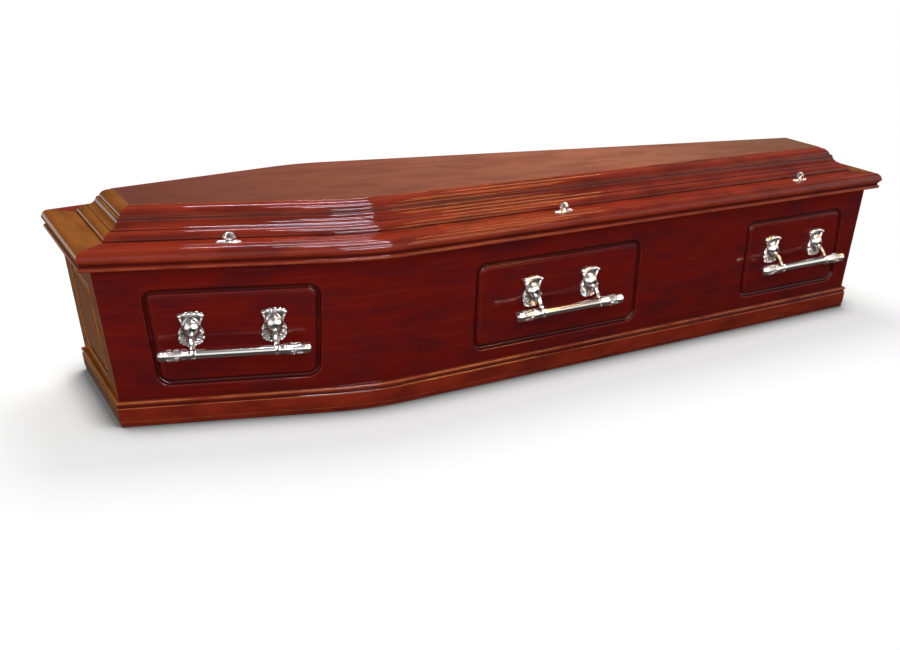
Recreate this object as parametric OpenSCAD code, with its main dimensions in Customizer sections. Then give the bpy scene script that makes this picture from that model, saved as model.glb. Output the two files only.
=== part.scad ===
// Wooden coffin with a raised, moulded lid, swing-bar handles and lid screws.
// Millimetres. Z is up and the underside is at z = 0. X runs along the coffin with
// the head end at -X, and Y = 0 is the middle. The right side is the one at -Y.
// An inset is a distance inwards from the lid's outer edge, seen from above.

/* [Lid outline] */
// Length over the lid's edges
lid_l = 2000; // [1700:10:2400]
// Width over the lid's edges at the head end
head_w = 330; // [290:5:400]
// Width over the lid's edges where the two runs of the side would meet
shoulder_w = 578; // [480:2:700]
// Width over the lid's edges at the foot end
foot_w = 344; // [300:2:420]
// From the head end to where the two runs of the side would meet
shoulder_x = 536; // [430:2:650]
// Radius of the bend at the shoulder, at the lid's edge
bend_r = 550; // [350:10:700]

/* [Box] */
// Height of the box, up to the underside of the lid
box_h = 316; // [262:1:400]
// How far the lid stands out past the box
lid_overhang = 28; // [22:1:34]
// Thickness of the side and end panels
wall_t = 20; // [17:1:24]
// Thickness of the base board
base_t = 18; // [12:1:24]
// How much further in the head panel is at its bottom than at its top
head_lean = 44; // [20:1:60]
// How much further in the foot panel is at its bottom than at its top
foot_lean = 34; // [20:1:60]

/* [Plinth] */
// Height of the plinth
plinth_h = 52; // [43:1:64]
// Thickness of the plinth
plinth_t = 8; // [7:1:10]

/* [Raised panels] */
// From the underside to the lower edge of the raised panels
panel_z = 75; // [66:1:90]
// From the upper edge of the raised panels to the underside of the lid
panel_top_gap = 43; // [34:1:52]
// Length of the panels nearest the head and the foot
end_bay_l = 344; // [290:2:400]
// Length of the middle panel on each side
mid_bay_l = 452; // [380:2:540]
// Width of the panel on the head and foot ends
end_panel_w = 186; // [160:2:210]
// Radius of the panels' corners
panel_r = 28; // [24:1:34]
// Width of the moulded groove round each panel
groove_w = 19; // [15:1:22]
// Depth of the groove
groove_d = 6.5; // [5:0.5:8]

/* [Lid rim] */
// Height of the lid's rim
rim_h = 39; // [32:1:47]
// Width of the rim boards
rim_w = 84; // [82:1:96]
// Width of the rounded edge of the rim
rim_round = 16; // [13:1:19]
// Radius of the bead below the rounded edge
bead_r = 4.6; // [3.8:0.1:5]

/* [Lid moulding] */
// Height of the raised moulding
mould_h = 54; // [50:1:65]
// Inset of the moulding's foot
mould_foot = 61; // [58:1:64]
// Inset of the moulding's upper arris
mould_top = 120; // [112:1:130]
// Thickness of the panel let into the mouldings
top_t = 12; // [9:1:15]
// Width of the moulding's lip round that panel
lip_w = 4; // [3:1:6]
// Width of the ledge that carries that panel
ledge_w = 12; // [10:1:16]

/* [Handles] */
// From the head end of the lid to the middle of the first handle
first_handle_x = 275; // [240:1:320]
// Distance from one handle to the next, along the coffin
handle_pitch = 728; // [620:1:870]
// Height of the handles' pins above the middle of the raised panels
pin_above_mid = 9; // [-4:1:22]
// Distance of the handles' pins from the wall
pin_out = 10.5; // [10:0.5:12]
// Diameter of the handles' pins
pin_d = 5; // [4:0.5:6]
// Radial clearance of each pin in its arm
pin_play = 0.05; // [0.02:0.01:0.1]
// How far the bar hangs below the pins, and how far it stands out past them
bar_drop = 29; // [26:1:36]
// Length of the bar over its cast ends
bar_l = 290; // [250:2:350]
// Diameter of the bar
bar_d = 18; // [15:0.5:20]
// Diameter of the bar's cast ends
bar_end_d = 23; // [21:0.5:26]
// Length of each cast end
bar_end_l = 56; // [46:1:60]
// Distance between the two arms of a handle
arm_gap = 156; // [132:2:186]
// Width of an arm
arm_w = 9; // [7:0.5:11]
// Thickness of an arm, seen from its side
arm_t = 8; // [6:0.5:9]
// Width of a back plate
plate_w = 50; // [44:1:60]
// Height of a back plate
plate_h = 71; // [64:1:80]
// Thickness of a back plate
plate_t = 3; // [2:0.5:3.5]

/* [Lid screws] */
// Length of the leaf-shaped escutcheon
leaf_l = 48; // [40:1:58]
// Width of the escutcheon
leaf_w = 16; // [15:1:20]
// Thickness of the escutcheon
leaf_t = 2.4; // [2:0.2:3]
// Diameter of the thumb screw's shank
shank_d = 6; // [5:0.5:7]
// How far the shank reaches into the side panel
shank_grip = 30; // [20:1:40]
// Radius of the screw's fan-shaped head
fan_r = 13.5; // [11:0.5:16]

/* [Hidden] */
$fn = 48;
SIDES = ["right", "left"];
BAYS = ["head", "middle", "foot"];
PAIR = ["a", "b"];
PER_BAY = [for (side = SIDES, bay = BAYS) str(side, "_", bay)];
NODES = concat(
    ["base_board", "head_panel", "foot_panel", "side_right", "side_left"],
    [for (part = ["plinth", "lid_rim", "lid_moulding"], place = ["head", "foot", "right", "left"])
        str(part, "_", place)],
    ["lid_top"],
    [for (place = PER_BAY) str("escutcheon_", place)],
    [for (place = PER_BAY) str("thumb_screw_", place)],
    [for (place = PER_BAY) str("bar_", place)],
    [for (place = PER_BAY, one = PAIR) str("arm_", place, "_", one)],
    [for (place = PER_BAY, one = PAIR) str("back_plate_", place, "_", one)]
);
node = "all";

// Colours of the finishes
SIDE_WOOD = "#64140f";
EDGE_WOOD = "#a5371f";
END_WOOD = "#80501f";
TOP_WOOD = "#8c5a48";
METAL = "#c9c9c6";

// Small lengths
reach = 400;          // past any mitre, for the pieces that are cut there
eps = 1;              // how far a cutter stands proud of what it cuts
arc_steps = 8;        // straight lines in a small moulded curve
bend_steps = 8;       // straight lines in the bend at a shoulder
corner_steps = 5;     // straight lines in a corner of a raised panel
side_play = 0.5;      // beside an arm, in the slot of its hood
seat_play = 0.05;     // round a bar in its collar and a shank in its wood
rim_hole_play = 0.5;  // round a shank in the lid's rim

// Outline of the lid's right side, as seen from above
half_l = lid_l / 2;
head_pt = [-half_l, -head_w / 2];
foot_pt = [half_l, -foot_w / 2];
shoulder_pt = [-half_l + shoulder_x, -shoulder_w / 2];
splay = atan2((shoulder_w - head_w) / 2, shoulder_x);
taper = atan2((shoulder_w - foot_w) / 2, lid_l - shoulder_x);
bend_turn = splay + taper;
bend_c = shoulder_pt
    + bend_r / cos(bend_turn / 2) * [sin((splay - taper) / 2), cos((splay - taper) / 2)];
// Ways inwards along the mitres, for an inset of one
head_mitre = [1, (1 - sin(splay)) / cos(splay)];
foot_mitre = [-1, (1 - sin(taper)) / cos(taper)];

// Heights and levels that pieces share
lid_z = box_h;
rim_top_z = lid_z + rim_h;
total_h = rim_top_z + mould_h;
wall_in = lid_overhang + wall_t;
panel_h = box_h - panel_top_gap - panel_z;
pin_z = panel_z + panel_h / 2 + pin_above_mid;
head_tilt = atan2(head_lean, box_h);
foot_tilt = atan2(foot_lean, box_h);
screw_inset = lid_overhang + wall_t / 2;

// Handle sizes that follow from the ones above
pin_r = pin_d / 2;
bar_r = bar_d / 2;
knuckle_r = pin_r + 3.5;
collar_r = bar_r + 3.5;
collar_w = arm_w + 3;
hood_r = 22;
hood_h = 19;
hood_up = 7;          // from the pin up to the middle of the hood
slot_up = 16;         // from the pin up to the square part of the slot
swing_bow = 60;       // turn of the arm's curve, in degrees
plate_up = 7.5;       // from the pin up to the middle of the back plate

// x of the middle of a bay, and the heading and run of its side wall
function bay_x(bay) = -half_l + first_handle_x + handle_pitch * search([bay], BAYS)[0];
function on_head_run(x) = x < shoulder_pt.x;
function heading(x) = on_head_run(x) ? -splay : taper;

// Point of the right side at x, for an inset
function side_pt(x, inset) =
    on_head_run(x)
    ? [x, head_pt.y - (x + half_l) * tan(splay) + inset / cos(splay)]
    : [x, foot_pt.y - (half_l - x) * tan(taper) + inset / cos(taper)];

// How far in an end panel is at height z, past its place at the top
function lean_at(lean, z) = lean * (box_h - z) / box_h;

// Points of an elliptical arc, and of a shallow arc between two points
function arc(c, r, from, to) =
    [for (i = [0:arc_steps]) let (a = from + (to - from) * i / arc_steps)
        c + [r.x * cos(a), r.y * sin(a)]];
function bow(p, q, sag) =
    let (half = norm(q - p) / 2, r = (half * half + sag * sag) / (2 * abs(sag)),
         way = (q - p) / norm(q - p), left = sign(sag) * [-way.y, way.x],
         c = (p + q) / 2 - left * (r - abs(sag)), open = asin(half / r))
    [for (i = [0:arc_steps]) let (a = open * (2 * i / arc_steps - 1))
        c + r * (left * cos(a) + way * sin(a))];

// ---- Ways to sweep a profile whose x is an inset and whose y is a height ----

// Straight run from a point, with the object on the left of the heading
module run(from, heading, length) {
    translate([from.x, from.y, 0])
        rotate([0, 0, heading])
            rotate([90, 0, 90])
                linear_extrude(length) children();
}

// Line of the right side at an inset, from the head's mitre to the foot's. The last two
// say how much further in its ends are, along X.
function side_line(inset, head_in = 0, foot_in = 0) = concat(
    [head_pt + inset * head_mitre + head_in * [1, -tan(splay)]],
    [for (i = [0:bend_steps]) let (a = bend_turn * i / bend_steps - splay)
        bend_c + (bend_r - inset) * [sin(a), -cos(a)]],
    [foot_pt + inset * foot_mitre - foot_in * [1, tan(taper)]]);

// Right side from mitre to mitre, for a profile listed anticlockwise. The leans are
// those of the ends that it meets.
module swept_side(profile, head_by = 0, foot_by = 0) {
    lines = [for (p = profile) side_line(p.x, lean_at(head_by, p.y), lean_at(foot_by, p.y))];
    count = len(profile);
    last = len(lines[0]) - 1;
    corners = [for (k = [0:last], i = [0:count - 1]) [lines[i][k].x, lines[i][k].y, profile[i].y]];
    walls = [for (k = [0:last - 1], i = [0:count - 1])
        let (j = (i + 1) % count, here = k * count, there = here + count)
        [here + i, here + j, there + j, there + i]];
    caps = [[for (i = [count - 1:-1:0]) i], [for (i = [0:count - 1]) last * count + i]];
    polyhedron(corners, concat(walls, caps));
}

// Head or foot end, past both mitres
module along_end(end) {
    if (end == "head")
        run([-half_l, shoulder_w / 2], -90, shoulder_w) children();
    else
        run([half_l, -shoulder_w / 2], 90, shoulder_w) children();
}

// Everything on the side of a plane that a x b points to
module beyond(p, a, b) {
    big = 1200;
    e1 = a / norm(a);
    n = cross(a, b);
    e3 = n / norm(n);
    e2 = cross(e3, e1);
    multmatrix([[e1.x, e2.x, e3.x, p.x],
                [e1.y, e2.y, e3.y, p.y],
                [e1.z, e2.z, e3.z, p.z],
                [0, 0, 0, 1]])
        translate([-big, -big, 0]) cube([2 * big, 2 * big, big]);
}

// Past the mitre at the right side's head or foot corner, on the end's part or the side's.
// The lean is that of the end, and lid pieces have none.
module past_mitre(end, lean, keep) {
    outwards = end == "head" ? -1 : 1;
    mitre = end == "head" ? head_mitre : foot_mitre;
    slope = end == "head" ? splay : taper;
    corner = (end == "head" ? head_pt : foot_pt) + lid_overhang * mitre;
    edge = [outwards * lean, lean * tan(slope), box_h];
    inwards = [mitre.x, mitre.y, 0];
    flip = (keep == "end" ? 1 : -1) * outwards;
    beyond([corner.x, corner.y, box_h], flip * edge, inwards);
}

module cut_side(head_by, foot_by) {
    difference() {
        children();
        past_mitre("head", head_by, "side");
        past_mitre("foot", foot_by, "side");
    }
}

module cut_end(end, lean) {
    difference() {
        children();
        past_mitre(end, lean, "end");
        mirror([0, 1, 0]) past_mitre(end, lean, "end");
    }
}

// The right side as built, or its mirror image
module on_side(side) {
    if (side == "right")
        children();
    else
        mirror([0, 1, 0]) children();
}

// Region inside an inset, with its ends moved outwards by a length
module outline(inset, past = 0) {
    line = side_line(inset, -past, -past);
    polygon(concat(line, [for (i = [len(line) - 1:-1:0]) [line[i].x, -line[i].y]]));
}

// ---- Raised panels ----

function groove_profile() =
    let (w = groove_w, d = groove_d)
    [[0, eps], [0, -0.23 * d], [0.16 * w, -0.23 * d], [0.26 * w, -0.68 * d],
     [0.47 * w, -d], [0.6 * w, -d], [0.68 * w, -0.52 * d], [0.84 * w, -0.23 * d],
     [w, -0.15 * d], [w, eps]];

// Groove round a loop of points that turns left, lying in the XY plane. Each stop is
// the centre of a corner's rounding and a direction out of it.
module groove_loop(pts) {
    count = len(pts);
    stops = [for (i = [0:count - 1])
        let (here = pts[i],
             came = here - pts[(i + count - 1) % count],
             goes = pts[(i + 1) % count] - here,
             from = atan2(came.y, came.x) - 90,
             turn = (atan2(goes.y, goes.x) - 90 - from + 360) % 360,
             way = goes / norm(goes),
             centre = here + panel_r * (tan(turn / 2) * way + [-way.y, way.x]))
        for (k = [0:corner_steps]) [centre, from + turn * k / corner_steps]];
    profile = groove_profile();
    wide = len(profile);
    corners = [for (stop = stops, p = profile)
        let (at = stop[0] + (panel_r - p.x) * [cos(stop[1]), sin(stop[1])]) [at.x, at.y, p.y]];
    sides = [for (k = [0:len(stops) - 1], i = [0:wide - 1])
        let (j = (i + 1) % wide, here = k * wide, there = (k + 1) % len(stops) * wide)
        [here + j, here + i, there + i, there + j]];
    polyhedron(corners, sides);
}

// Groove of one bay on the right wall. The head bay's near edge follows the head panel.
module bay_groove(bay) {
    x = bay_x(bay);
    length = bay == "middle" ? mid_bay_l : end_bay_l;
    slant = bay == "head" ? panel_h * tan(head_tilt) : 0;
    at = side_pt(x, lid_overhang);
    translate([at.x, at.y, panel_z])
        rotate([90, 0, heading(x)])
            groove_loop([[-length / 2 + slant, 0], [length / 2, 0],
                         [length / 2, panel_h], [-length / 2, panel_h]]);
}

module end_groove(end) {
    tilt = end == "head" ? head_tilt : foot_tilt;
    lean = end == "head" ? head_lean : foot_lean;
    outwards = end == "head" ? -1 : 1;
    slope_h = panel_h / cos(tilt);
    translate([outwards * (half_l - lid_overhang - lean_at(lean, panel_z)), 0, panel_z])
        rotate([90 + tilt, 0, outwards * 90])
            groove_loop([[-end_panel_w / 2, 0], [end_panel_w / 2, 0],
                         [end_panel_w / 2, slope_h], [-end_panel_w / 2, slope_h]]);
}

// ---- Box ----

module side_wall() {
    difference() {
        cut_side(head_lean, foot_lean) linear_extrude(box_h) {
            inner = side_line(wall_in, -reach, -reach);
            polygon(concat(side_line(lid_overhang, -reach, -reach),
                           [for (i = [len(inner) - 1:-1:0]) inner[i]]));
        }
        for (bay = BAYS) bay_groove(bay);
        for (bay = BAYS) at_screw(bay)
            translate([0, 0, -rim_h - shank_grip])
                cylinder(d = shank_d + 2 * seat_play, h = shank_grip + eps);
    }
}

module end_wall(end) {
    lean = end == "head" ? head_lean : foot_lean;
    difference() {
        cut_end(end, lean) along_end(end)
            polygon([[lid_overhang + lean, 0], [wall_in + lean, 0],
                     [wall_in, box_h], [lid_overhang, box_h]]);
        end_groove(end);
    }
}

module base_board() {
    color(SIDE_WOOD) intersection() {
        linear_extrude(base_t) outline(wall_in, reach);
        rotate([90, 0, 0]) linear_extrude(shoulder_w, center = true)
            polygon([[-half_l + wall_in + head_lean, 0], [half_l - wall_in - foot_lean, 0],
                     [half_l - wall_in - lean_at(foot_lean, base_t), base_t],
                     [-half_l + wall_in + lean_at(head_lean, base_t), base_t]]);
    }
}

// ---- Plinth ----

// Section of the plinth, leaning with the wall that it is fixed to
function plinth_profile(lean) =
    let (bead = plinth_t / 2, top = plinth_h - 2 * bead,
         face = [[0, 0], [1 - plinth_t, 0], [1 - plinth_t, 9], [-plinth_t, 10],
                 [-plinth_t, top - 6], [1.5 - plinth_t, top - 5], [1.5 - plinth_t, top - 2],
                 [2.5 - plinth_t, top]],
         round_top = arc([-bead, plinth_h - bead], [bead, bead], 250, 90))
    [for (p = concat(face, round_top, [[0, plinth_h]]))
        [lid_overhang + p.x + lean_at(lean, p.y), p.y]];

module plinth_side() {
    swept_side(plinth_profile(0), head_lean, foot_lean);
}

module plinth_end(end) {
    lean = end == "head" ? head_lean : foot_lean;
    cut_end(end, lean) along_end(end) polygon(plinth_profile(lean));
}

// ---- Lid ----

function rim_profile() =
    let (bead_x = 2.8 + bead_r, quirk_x = bead_x - 0.8, lip_z = rim_h - 17.5)
    [for (p = concat(
        [[rim_w, 0]],
        arc([bead_x, bead_r], [bead_r, bead_r], 270, 100),
        [[quirk_x, 2 * bead_r + 0.4], [quirk_x, lip_z - 8.5], [0.6, lip_z - 1.3]],
        arc([rim_round, lip_z], [rim_round, rim_h - lip_z], 180, 90),
        [[rim_w, rim_h]])) p + [0, lid_z]];

// Section of the raised moulding: a lower bow, a cove, a ledge and an upper ovolo
function moulding_profile() =
    let (rise = mould_h / 54, width = (mould_top - mould_foot) / 59,
         at = function(x, y) [mould_foot + x * width, y * rise],
         rebate_x = mould_top + lip_w, ledge_x = rebate_x + ledge_w)
    [for (p = concat(
        [at(1, 0)],
        bow(at(0, 3), at(16.5, 15.4), 3.2),
        [at(17.8, 17.2)],
        bow(at(18, 17.2), at(33, 31.6), -2.6),
        [at(33.6, 31.8), at(33.8, 35.4), at(38.4, 36.4), at(38.8, 35.8)],
        bow(at(39, 38.6), at(58.2, 52.4), 3.4),
        [[mould_top, mould_h], [rebate_x, mould_h], [rebate_x, mould_h - top_t],
         [ledge_x, mould_h - top_t], [ledge_x, mould_h - top_t - 10],
         [rim_w, 0]])) p + [0, rim_top_z]];

module rim_side() {
    difference() {
        swept_side(rim_profile());
        for (bay = BAYS) at_screw(bay)
            translate([0, 0, -rim_h - eps])
                cylinder(d = shank_d + 2 * rim_hole_play, h = rim_h + 2 * eps);
    }
}

module rim_end(end) {
    cut_end(end, 0) along_end(end) polygon(rim_profile());
}

module moulding_side() {
    swept_side(moulding_profile());
}

module moulding_end(end) {
    cut_end(end, 0) along_end(end) polygon(moulding_profile());
}

module lid_top() {
    color(TOP_WOOD)
        translate([0, 0, total_h - top_t])
            linear_extrude(top_t) outline(mould_top + lip_w);
}

// ---- Lid screws, standing on the rim ----

module at_screw(bay) {
    x = bay_x(bay);
    at = side_pt(x, screw_inset);
    translate([at.x, at.y, rim_top_z]) rotate([0, 0, heading(x)]) children();
}

boss_r = leaf_w / 2 - 1;
boss_h = leaf_t + 1.6;
neck_h = 2;

module escutcheon() {
    flank_r = (leaf_l * leaf_l + leaf_w * leaf_w) / (4 * leaf_w);
    difference() {
        union() {
            linear_extrude(leaf_t) intersection() {
                translate([0, flank_r - leaf_w / 2]) circle(r = flank_r, $fn = 180);
                translate([0, leaf_w / 2 - flank_r]) circle(r = flank_r, $fn = 180);
            }
            cylinder(r = boss_r, h = boss_h);
        }
        translate([0, 0, -eps])
            cylinder(d = shank_d + 2 * rim_hole_play, h = boss_h + 2 * eps);
    }
}

module thumb_screw() {
    fan_t = 3.2;
    translate([0, 0, -rim_h - shank_grip])
        cylinder(d = shank_d, h = rim_h + shank_grip + boss_h + neck_h);
    translate([0, 0, boss_h]) cylinder(r = boss_r - 1.5, h = neck_h);
    translate([0, fan_t / 2, boss_h + neck_h + 2])
        rotate([90, 0, 0])
            linear_extrude(fan_t) intersection() {
                circle(r = fan_r);
                polygon([[-3, -3], [-fan_r - eps, 2], [-fan_r - eps, fan_r + eps],
                         [fan_r + eps, fan_r + eps], [fan_r + eps, 2], [3, -3]]);
            }
}

// ---- Handles, on the wall: X along it, -Y out of it, Z up from the underside ----

module at_handle(bay) {
    x = bay_x(bay);
    at = side_pt(x, lid_overhang);
    translate([at.x, at.y, 0]) rotate([0, 0, heading(x)]) children();
}

module at_arm(one) {
    translate([one == "a" ? -arm_gap / 2 : arm_gap / 2, 0, 0]) children();
}

// Turns a plane of (out of the wall, up) into the handle's place
module in_swing_plane() {
    rotate([90, 0, -90]) children();
}

module back_plate() {
    lobe_r = 7;
    middle_z = pin_z + plate_up;
    flat = [plate_w / 2 - lobe_r, plate_h / 2 - lobe_r];
    cap_r = (hood_r * hood_r + hood_h * hood_h) / (2 * hood_h);
    difference() {
        union() {
            translate([0, 0, middle_z]) rotate([90, 0, 0]) linear_extrude(plate_t) {
                polygon([for (a = [0:15:345]) [(flat.x + 4) * cos(a), (flat.y + 4) * sin(a)]]);
                for (a = [0:30:330]) translate([flat.x * cos(a), flat.y * sin(a)]) circle(lobe_r);
            }
            intersection() {
                translate([0, cap_r - hood_h, pin_z + hood_up]) sphere(r = cap_r, $fn = 96);
                translate([-plate_w, -plate_w, pin_z - plate_h])
                    cube([2 * plate_w, plate_w, 2 * plate_h]);
            }
        }
        translate([0, 0, pin_z]) rotate([90, 0, 0]) translate([0, 0, plate_t])
            linear_extrude(hood_h) {
                slot_w = arm_w + 2 * side_play;
                translate([-slot_w / 2, -plate_h]) square([slot_w, plate_h + slot_up]);
                translate([0, slot_up]) circle(d = slot_w);
            }
    }
    translate([0, -pin_out, pin_z]) rotate([0, 90, 0])
        cylinder(r = pin_r, h = 2 * 13, center = true);
}

module arm() {
    pin_at = [pin_out, pin_z];
    bar_at = [pin_out + bar_drop, pin_z - bar_drop];
    chord = norm(bar_at - pin_at);
    r = chord / (2 * sin(swing_bow / 2));
    c = (pin_at + bar_at) / 2 - r * cos(swing_bow / 2) * [1, 1] / sqrt(2);
    in_swing_plane() difference() {
        union() {
            translate(pin_at) cylinder(r = knuckle_r, h = arm_w, center = true);
            translate([c.x, c.y, 0]) rotate([0, 0, 45 - swing_bow / 2])
                rotate_extrude(angle = swing_bow, $fn = 120)
                    translate([r, 0]) square([arm_t, arm_w], center = true);
            translate(bar_at) cylinder(r = collar_r, h = collar_w, center = true);
        }
        translate(pin_at) cylinder(r = pin_r + pin_play, h = 2 * arm_w, center = true);
        translate(bar_at) cylinder(r = bar_r + seat_play, h = 2 * collar_w, center = true);
    }
}

module bar() {
    half = bar_l / 2;
    end_r = bar_end_d / 2;
    neck = half - bar_end_l;
    translate([0, -pin_out - bar_drop, pin_z - bar_drop]) rotate([0, 90, 0])
        rotate_extrude($fn = 96)
            polygon([[0, -half], [end_r - 5, -half], [end_r - 1.5, 3 - half], [end_r, 7 - half],
                     [end_r, -neck - 4], [bar_r + 0.6, -neck], [bar_r, 0.5 - neck],
                     [bar_r, neck - 0.5], [bar_r + 0.6, neck], [end_r, neck + 4],
                     [end_r, half - 7], [end_r - 1.5, half - 3], [end_r - 5, half], [0, half]]);
}

// ---- The coffin ----

function wanted(name) = node == "all" || node == name;

if (wanted("base_board")) base_board();
if (wanted("lid_top")) lid_top();
for (end = ["head", "foot"]) {
    if (wanted(str(end, "_panel"))) color(END_WOOD) end_wall(end);
    if (wanted(str("plinth_", end))) color(END_WOOD) plinth_end(end);
    if (wanted(str("lid_rim_", end))) color(END_WOOD) rim_end(end);
    if (wanted(str("lid_moulding_", end))) color(END_WOOD) moulding_end(end);
}
for (side = SIDES) {
    if (wanted(str("side_", side))) color(SIDE_WOOD) on_side(side) side_wall();
    if (wanted(str("plinth_", side))) color(EDGE_WOOD) on_side(side) plinth_side();
    if (wanted(str("lid_rim_", side))) color(EDGE_WOOD) on_side(side) rim_side();
    if (wanted(str("lid_moulding_", side))) color(EDGE_WOOD) on_side(side) moulding_side();
    for (bay = BAYS) {
        at = str(side, "_", bay);
        if (wanted(str("escutcheon_", at))) color(METAL) on_side(side) at_screw(bay) escutcheon();
        if (wanted(str("thumb_screw_", at))) color(METAL) on_side(side) at_screw(bay) thumb_screw();
        if (wanted(str("bar_", at))) color(METAL) on_side(side) at_handle(bay) bar();
        for (one = PAIR) {
            if (wanted(str("arm_", at, "_", one)))
                color(METAL) on_side(side) at_handle(bay) at_arm(one) arm();
            if (wanted(str("back_plate_", at, "_", one)))
                color(METAL) on_side(side) at_handle(bay) at_arm(one) back_plate();
        }
    }
}
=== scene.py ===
"""Looks of a six-sided wooden coffin with a stepped lid, raised panels and swing-bar handles.

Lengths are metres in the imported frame: X runs from the head end to the foot end, the right
side is the one at -Y and the underside is at z = 0. An inset is a distance inwards from the
lid's outer edge, seen from above. Sections are drawn in millimetres, as (inset, height).
"""

import logging
import math
from dataclasses import dataclass
from enum import Enum
from typing import Callable, Iterable, Sequence

import bmesh
import bpy
import numpy as np
from mathutils import Matrix, Vector

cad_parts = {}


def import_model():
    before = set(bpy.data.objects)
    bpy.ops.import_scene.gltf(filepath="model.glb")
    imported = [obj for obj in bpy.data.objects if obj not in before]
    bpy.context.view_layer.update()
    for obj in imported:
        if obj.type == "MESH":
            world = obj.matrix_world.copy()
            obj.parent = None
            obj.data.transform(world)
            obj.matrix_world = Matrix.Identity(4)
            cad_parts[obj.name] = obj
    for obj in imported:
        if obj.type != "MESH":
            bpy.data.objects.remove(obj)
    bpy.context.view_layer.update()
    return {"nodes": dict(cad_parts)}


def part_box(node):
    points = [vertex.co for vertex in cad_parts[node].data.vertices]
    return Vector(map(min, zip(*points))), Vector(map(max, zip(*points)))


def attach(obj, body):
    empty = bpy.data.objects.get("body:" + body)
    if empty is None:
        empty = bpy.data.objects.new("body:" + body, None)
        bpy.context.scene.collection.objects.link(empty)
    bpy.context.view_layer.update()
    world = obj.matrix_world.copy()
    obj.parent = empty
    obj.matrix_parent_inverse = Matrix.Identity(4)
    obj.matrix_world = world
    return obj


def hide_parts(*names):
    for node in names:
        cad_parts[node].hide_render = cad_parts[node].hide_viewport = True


LOG = logging.getLogger("coffin")
MM = 0.001
UP = Vector((0, 0, 1))
ALONG = Vector((1, 0, 0))
MIRROR = Matrix.Scale(-1, 4, (0, 1, 0))
WELD = 0.002 * MM
NEAR = 1e-6
SAME_WAY = 0.9999
SMALLEST_FACE = 0.05
END_PLANKS = 3.0
# Vertex attribute of painted light: shade painted into creases below 0, a highlight painted on edges above 0
PAINTED_LIGHT = "rub"
GRAIN = "grain"
Point = tuple[float, float]


class Side(Enum):
    """The coffin's two long sides, by the sign that takes the right one to it in Y."""

    RIGHT = 1
    LEFT = -1

    @property
    def word(self) -> str:
        """Name used in the nodes."""
        return self.name.lower()

    @property
    def place(self) -> Matrix:
        """Placement that takes the right side to this one."""
        return Matrix.Identity(4) if self is Side.RIGHT else MIRROR


class End(Enum):
    """The coffin's two ends, by the direction in X that they face."""

    HEAD = -1
    FOOT = 1

    @property
    def word(self) -> str:
        """Name used in the nodes."""
        return self.name.lower()


class Bay(Enum):
    """The three places along a side that hold a panel, a handle and a lid screw."""

    HEAD = 0
    MIDDLE = 1
    FOOT = 2

    @property
    def word(self) -> str:
        """Name used in the nodes."""
        return self.name.lower()


class Part(Enum):
    """What an edit-mode selection picks."""

    VERTS = "VERT"
    EDGES = "EDGE"
    FACES = "FACE"


# ---- Modelling bench ----


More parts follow.
